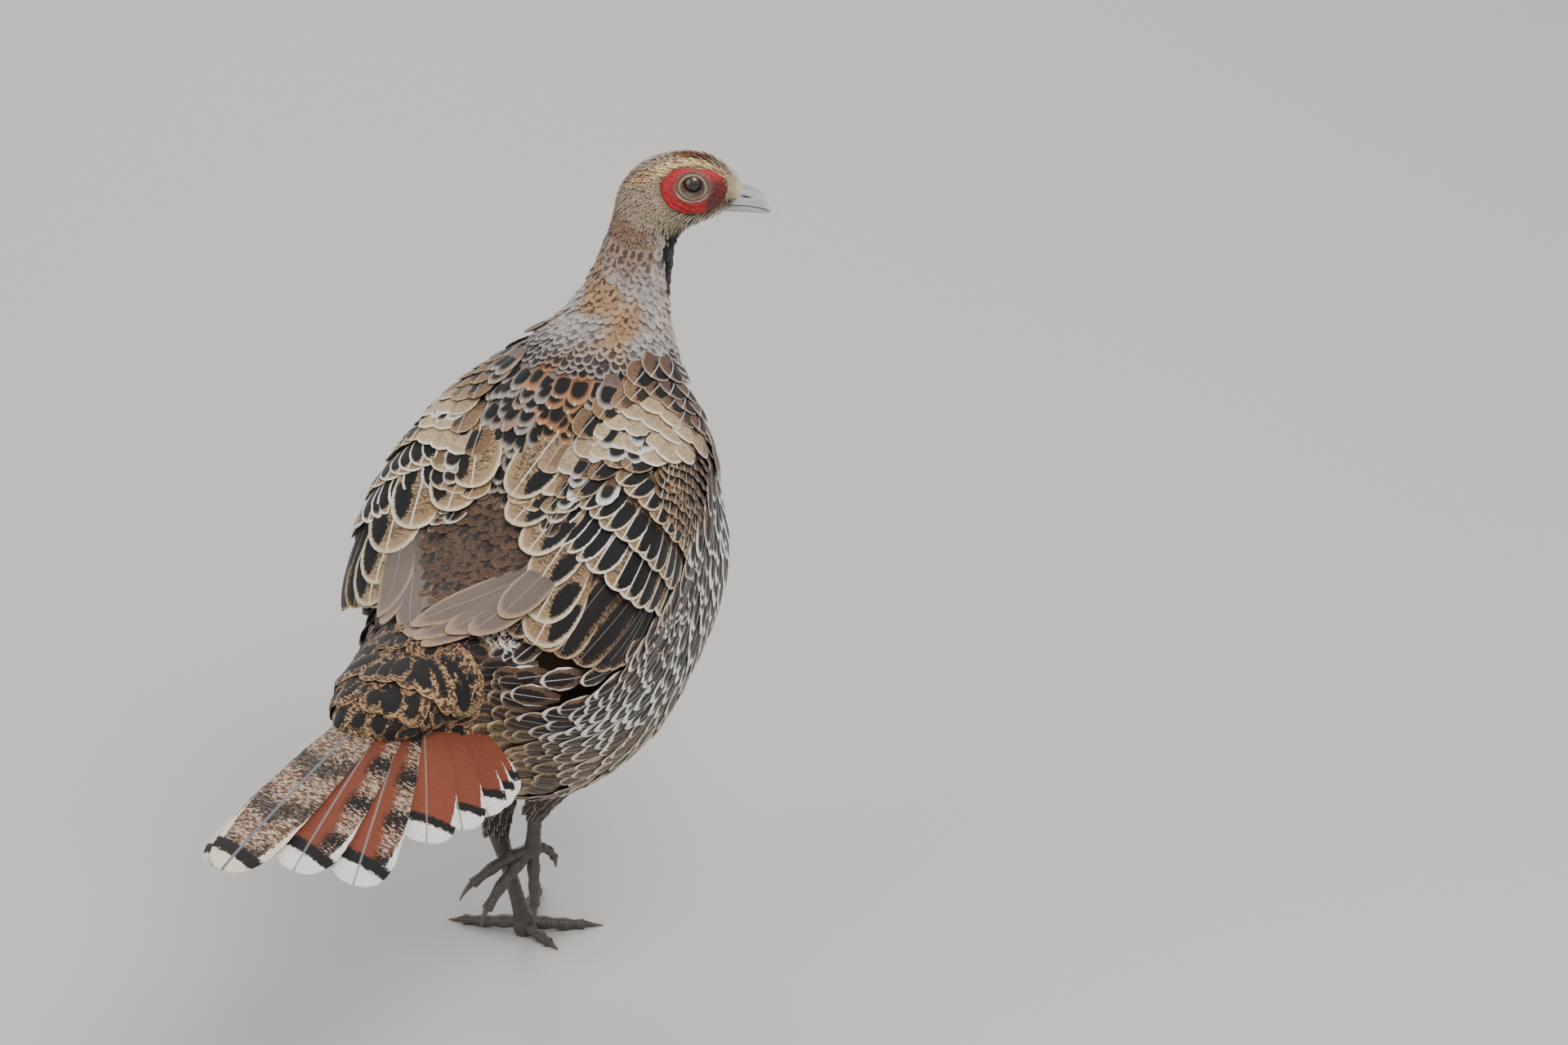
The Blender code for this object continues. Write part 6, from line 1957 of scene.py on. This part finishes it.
        marks = Marks.plain(n, "#4a3d34", "#6b5a4c", "#1c1613", (0.5, 0.5, 0.3)).vary(rng, 0.15, 0.2)
        marks.lay(1 - smoothstep(0.0, 0.35, s), "#6d5642", "#a08568")
        vanes = Vanes.laid(Cut(rows=7, cols=5, widest=0.5, tip=1.8, crown=0.2), flesh, p, tip, half, lifts,
                           rng.normal(0, 0.03, n), marks, rng)
        made.append(vanes.mesh(f"thigh_feathers_{self.side.label}", finish, self.loft))
        return made


@dataclass
class Studio:
    """A pale floor, soft light and the camera at the photo's angle."""

    azimuth: float = 31.0
    elevation: float = 27.0
    distance: float = 2900.0
    lens: float = 135.0
    film: float = 36.0
    picture: tuple[int, int] = (1920, 1280)
    origin_at: tuple[float, float] = (641.0, 1143.0)
    floor_half: float = 6000.0
    sky: tuple[float, float, float, float] = (0.90, 0.94, 1.0, 1.0)
    sky_strength: float = 0.75
    lamps: tuple = (
        ("key", (-0.9, 0.3, 1.9), (0, 0, 0.22), 1.1, 26.0, (1.0, 0.97, 0.93)),
        ("fill", (0.9, 1.8, 1.2), (0, 0, 0.22), 1.6, 12.0, (0.93, 0.96, 1.0)),
        ("rim", (1.2, -1.4, 1.5), (0, 0, 0.25), 0.9, 12.0, (1.0, 0.98, 0.95)),
    )

    def build(self) -> None:
        """Makes the floor, the lights and the camera."""
        made, _, shader = blank("matt pale floor")
        shader.inputs["Base Color"].default_value = linear("#cfcbc5")
        shader.inputs["Roughness"].default_value = 0.9
        corners = np.array([(-1, -1, 0), (1, -1, 0), (1, 1, 0), (-1, 1, 0)]) * self.floor_half
        floor = mesh_object("floor", corners, np.arange(4), np.array([4]), made)
        world_made = bpy.data.worlds.new("soft sky")
        world_made.use_nodes = True
        back = world_made.node_tree.nodes["Background"]
        back.inputs["Color"].default_value = self.sky
        back.inputs["Strength"].default_value = self.sky_strength
        bpy.context.scene.world = world_made
        for values in self.lamps:
            self.lamp(*values)
        t, e = math.radians(self.azimuth), math.radians(self.elevation)
        ahead = np.array([math.sin(t) * math.cos(e), -math.cos(t) * math.cos(e), -math.sin(e)])
        right = unit(np.cross(ahead, np.array([0.0, 0.0, 1.0])))
        up = np.cross(right, ahead)
        scale = self.distance / (self.lens / self.film * self.picture[0])
        x = (self.origin_at[0] - self.picture[0] / 2) * scale
        y = (self.picture[1] / 2 - self.origin_at[1]) * scale
        at = -ahead * self.distance - right * x - up * y
        camera = bpy.data.objects.new("camera", bpy.data.cameras.new("camera"))
        camera.data.lens = self.lens
        camera.data.sensor_width = self.film
        camera.data.clip_end = 50.0
        camera.location = at * MM
        camera.rotation_euler = (math.pi / 2 - e, 0.0, math.atan2(-ahead[0], ahead[1]))
        bpy.context.scene.collection.objects.link(camera)
        bpy.context.scene.camera = camera

    def lamp(self, name: str, at: tuple, aim: tuple, size: float, power: float, colour: tuple) -> None:
        """A square area light at a point, aimed at another.

        Args:
            name: the light's name.
            at: where it stands, in metres.
            aim: what it faces.
            size: side of the square in metres.
            power: watts.
            colour: red, green and blue.
        """
        light = bpy.data.lights.new(name, "AREA")
        light.size, light.energy, light.color = size, power, colour
        lamp = bpy.data.objects.new(name, light)
        lamp.location = at
        way = np.array(aim, float) - np.array(at, float)
        flat = math.hypot(way[0], way[1])
        lamp.rotation_euler = (math.atan2(flat, -way[2]), 0.0, math.atan2(-way[0], way[1]))
        bpy.context.scene.collection.objects.link(lamp)


@dataclass
class Pheasant:
    """The whole bird: its sub-assemblies, and the solids that each piece stands in for."""

    form: BodyForm = field(default_factory=BodyForm)
    loft: SkinLoft = field(init=False)

    def __post_init__(self) -> None:
        """Lofts the skin once for every tract."""
        self.loft = SkinLoft(self.form)

    def put(self, things: Thing | list[Thing],
            nodes: tuple[str, ...] = ()) -> None:
        """Fixes pieces to the bird and the solids that they replace."""
        for thing in things if isinstance(things, list) else [things]:
            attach(thing, "root")
            if nodes:
                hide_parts(*nodes)

    def build_body(self) -> None:
        """The skin and the small feathers of trunk, neck and head."""
        coat = Coat(self.form, self.loft)
        down = SkinFinish("feathered skin", 0.9).build()
        mantle = PlumageFinish("blotched mantle plumage", mottle=0.25, vermicule=0.15, fringe=0.34, soft=0.6,
                               blotch=(0.64, 0.0, 0.24, 0.95), shaft=0.0, tip=0.86).build()
        back = PlumageFinish("vermiculated back plumage", mottle=0.5, vermicule=0.7, fringe=0.12,
                             soft=0.9).build()
        rump = PlumageFinish("flecked rump plumage", mottle=0.5, vermicule=0.5, fringe=0.12, soft=0.9,
                             fleck=0.75, blotch=(0.6, 0.0, 0.24, 0.6)).build()
        flank = PlumageFinish("white-edged flank plumage", mottle=0.35, vermicule=0.3, shaft=0.2,
                              fringe=0.2, soft=0.25, blotch=(0.62, 0.0, 0.34, 0.5)).build()
        neck = PlumageFinish("soft neck plumage", mottle=0.12, fringe=0.3, soft=0.9, shaft=0.0, barb=2.2,
                             blotch=(0.6, 0, 0.3, 0.7)).build()
        head = PlumageFinish("short head plumage", mottle=0.2, fringe=0.3, shaft=0.06, barb=3.5,
                             blotch=(0.55, 0, 0.35, 0.5), roughness=0.75).build()
        self.put(coat.skin(down), ("torso", "neck", "head"))
        round_cut = Cut(rows=9, cols=7, widest=0.52, tip=2.1, crown=0.20, ragged=0.06)
        long_cut = Cut(rows=11, cols=7, widest=0.5, tip=1.7, crown=0.18, ragged=0.05)
        soft_cut = Cut(rows=6, cols=5, widest=0.5, tip=2.0, crown=0.25, ragged=0.08)
        small_cut = Cut(rows=5, cols=3, widest=0.5, tip=1.7, crown=0.3, ragged=0.10)

        def upper(_: Array, turn: Array) -> Array:
            """Roots on the back."""
            return np.sin(turn) > 0.25

        def right_side(p: Array, turn: Array) -> Array:
            """Roots on the right flank and half of the belly."""
            return (np.sin(turn) <= 0.25) & (np.cos(turn) < 0) & (above_flank(p) < 6)

        def left_side(p: Array, turn: Array) -> Array:
            """Roots on the left flank and half of the belly."""
            return (np.sin(turn) <= 0.25) & (np.cos(turn) >= 0) & (above_flank(p) < 6)

        sides = Tract(-30, 215, 8.0, 8.2, 25, 5.8, (-1.8, 1.3), long_cut)
        tracts = (
            ("rump_feathers", Tract(-30, 60, 6.4, 6.6, 21, 5.6, (-1.8, 1.1), round_cut), rump, upper),
            ("back_feathers", Tract(60, 140, 6.2, 6.4, 20, 5.4, (-1.8, 1.1), round_cut), back, upper),
            ("mantle_feathers", Tract(140, 215, 6.6, 6.6, 19, 5.6, (-1.8, 1.2), round_cut), mantle, upper),
            ("flank_feathers_right", sides, flank, right_side),
            ("flank_feathers_left", sides, flank, left_side),
            ("neck_feathers", Tract(215, 278, 3.6, 3.6, 10.5, 3.0, (-1.8, 0.7), soft_cut), neck, None),
            ("head_feathers", Tract(278, 400, 1.55, 1.6, 4.4, 0.95, (-1.9, 0.1), small_cut), head, None),
        )
        for name, tract, finish, keep in tracts:
            self.put(coat.grow(name, tract, finish, keep))

    def build_face(self) -> None:
        """Eyes, bare skin and bill."""
        face = Face(self.form)
        skin = SkinFinish("bare red skin", 0.5, bumps=1900.0, depth=0.6, speckle=0.35, coat=0.15,
                          soft=0.12).build()
        horn = SkinFinish("pale bill horn", 0.38, bumps=500.0, depth=0.12, speckle=0.06, coat=0.1,
                          soft=0.08).build()
        for side in Side:
            self.put(face.build_eye(side), (f"eye_{side.label}",))
            self.put(face.build_skin(side, skin), (f"face_{side.label}",))
        self.put(face.build_bill(True, horn), ("bill_upper",))
        self.put(face.build_bill(False, horn), ("bill_lower",))

    def build_wings(self) -> None:
        """Both folded wings."""
        skin = SkinFinish("wing skin", 0.9).build()
        lesser = PlumageFinish("brown lesser covert plumage", mottle=0.4, vermicule=0.6, fringe=0.16,
                               soft=0.4).build()
        greater = PlumageFinish("white-tipped covert plumage", mottle=0.3, vermicule=0.7, fringe=0.10,
                                soft=0.3, shaft=0.42, blotch=(0.60, 0.5, 0.34, 0.52)).build()
        tertial = PlumageFinish("vermiculated tertial plumage", mottle=0.25, vermicule=0.75, fringe=0.09,
                                soft=0.8, shaft=0.42, blotch=(0.74, 0.72, 0.22, 0.5)).build()
        flight = PlumageFinish("dark flight plumage", mottle=0.5, vermicule=0.6, fringe=0.05, soft=0.5,
                               shaft=0.15, blotch=(0.5, 0.2, 0.5, 0.6), fleck=0.35).build()
        plain = PlumageFinish("grey-brown primary plumage", mottle=0.15, fringe=0.16, soft=0.9, shaft=0.3,
                              shaft_colour="#a08f80").build()
        shoulder = PlumageFinish("cream scapular plumage", mottle=0.25, vermicule=0.35, fringe=0.12, soft=0.5,
                                 shaft=0.25, blotch=(0.55, 0.4, 0.34, 0.6)).build()
        for side in (Side.LEFT, Side.RIGHT):
            wing = FoldedWing(self.form, self.loft, side)
            node = (f"wing_{side.label}",)
            self.put(wing.build_skin(skin), node)
            self.put(wing.build_primaries(plain), node)
            self.put(wing.build_flight(tertial, flight), node)
            self.put(wing.build_coverts(lesser, greater), node)
            self.put(wing.build_scapulars(shoulder), node)

    def build_tail(self) -> None:
        """The fanned tail with its coverts."""
        middle = PlumageFinish("mottled middle tail plumage", mottle=0.4, fringe=0.0, shaft=0.75, web=-1.4,
                               shaft_colour="#76767c", bars=34.0, ends=(9.0, 16.0)).build()
        second = PlumageFinish("spotted chestnut tail plumage", mottle=0.12, fringe=0.0, shaft=0.5, web=0.42,
                               shaft_colour="#8d8684", bars=27.0, ends=(11.0, 18.0)).build()
        chestnut = PlumageFinish("chestnut tail plumage", mottle=0.12, fringe=0.0, shaft=0.45,
                                 shaft_colour="#8d8078", blotch=(2.0, 0.0, 0.05, 0.8),
                                 ends=(10.0, 15.0)).build()
        coverts = PlumageFinish("mottled tail covert plumage", mottle=0.5, vermicule=0.5, fringe=0.10,
                                soft=0.9, fleck=0.8, blotch=(0.66, 0.1, 0.24, 0.5)).build()
        under = PlumageFinish("buff under-tail plumage", mottle=0.2, vermicule=0.15, fringe=0.2).build()
        tail = FannedTail(self.form, self.loft)
        for side in Side:
            self.put(tail.build_feathers(side, middle, second, chestnut), ("tail",))
        self.put(tail.build_coverts(coverts, under), ("tail",))

    def build_legs(self) -> None:
        """Thighs, shanks, feet and claws."""
        skin = SkinFinish("thigh skin", 0.9).build()
        feathers = PlumageFinish("dusky thigh plumage", mottle=0.4, vermicule=0.2, fringe=0.25,
                                 barb=2.2).build()
        scaled = SkinFinish("scaled leg skin", 0.45, bumps=900.0, depth=0.35, speckle=0.18, coat=0.05).build()
        horn = SkinFinish("brown claw horn", 0.35, coat=0.1).build()
        for side in Side:
            leg = Leg(self.form, self.loft, side)
            self.put(leg.build_thigh(skin, feathers), (f"thigh_{side.label}",))
            self.put(leg.build_shank(scaled), (f"tarsus_{side.label}",))
            foot = leg.build_foot(scaled, horn)
            for thing in foot:
                claw = thing.name.startswith("claw")
                number = thing.name[-1]
                self.put(thing,
                         (f"claw_{side.label}_{number}",) if claw else (f"foot_{side.label}",))

    def build(self) -> None:
        """Builds every sub-assembly in order, from the skin outward."""
        for step in (self.build_body, self.build_face, self.build_wings, self.build_tail, self.build_legs):
            LOG.info("%s", step.__name__)
            step()


def main() -> None:
    """Builds the studio and the bird."""
    logging.basicConfig(level=logging.INFO, format="%(message)s")
    Studio().build()
    Pheasant().build()


if __name__ == "__main__":
    main()
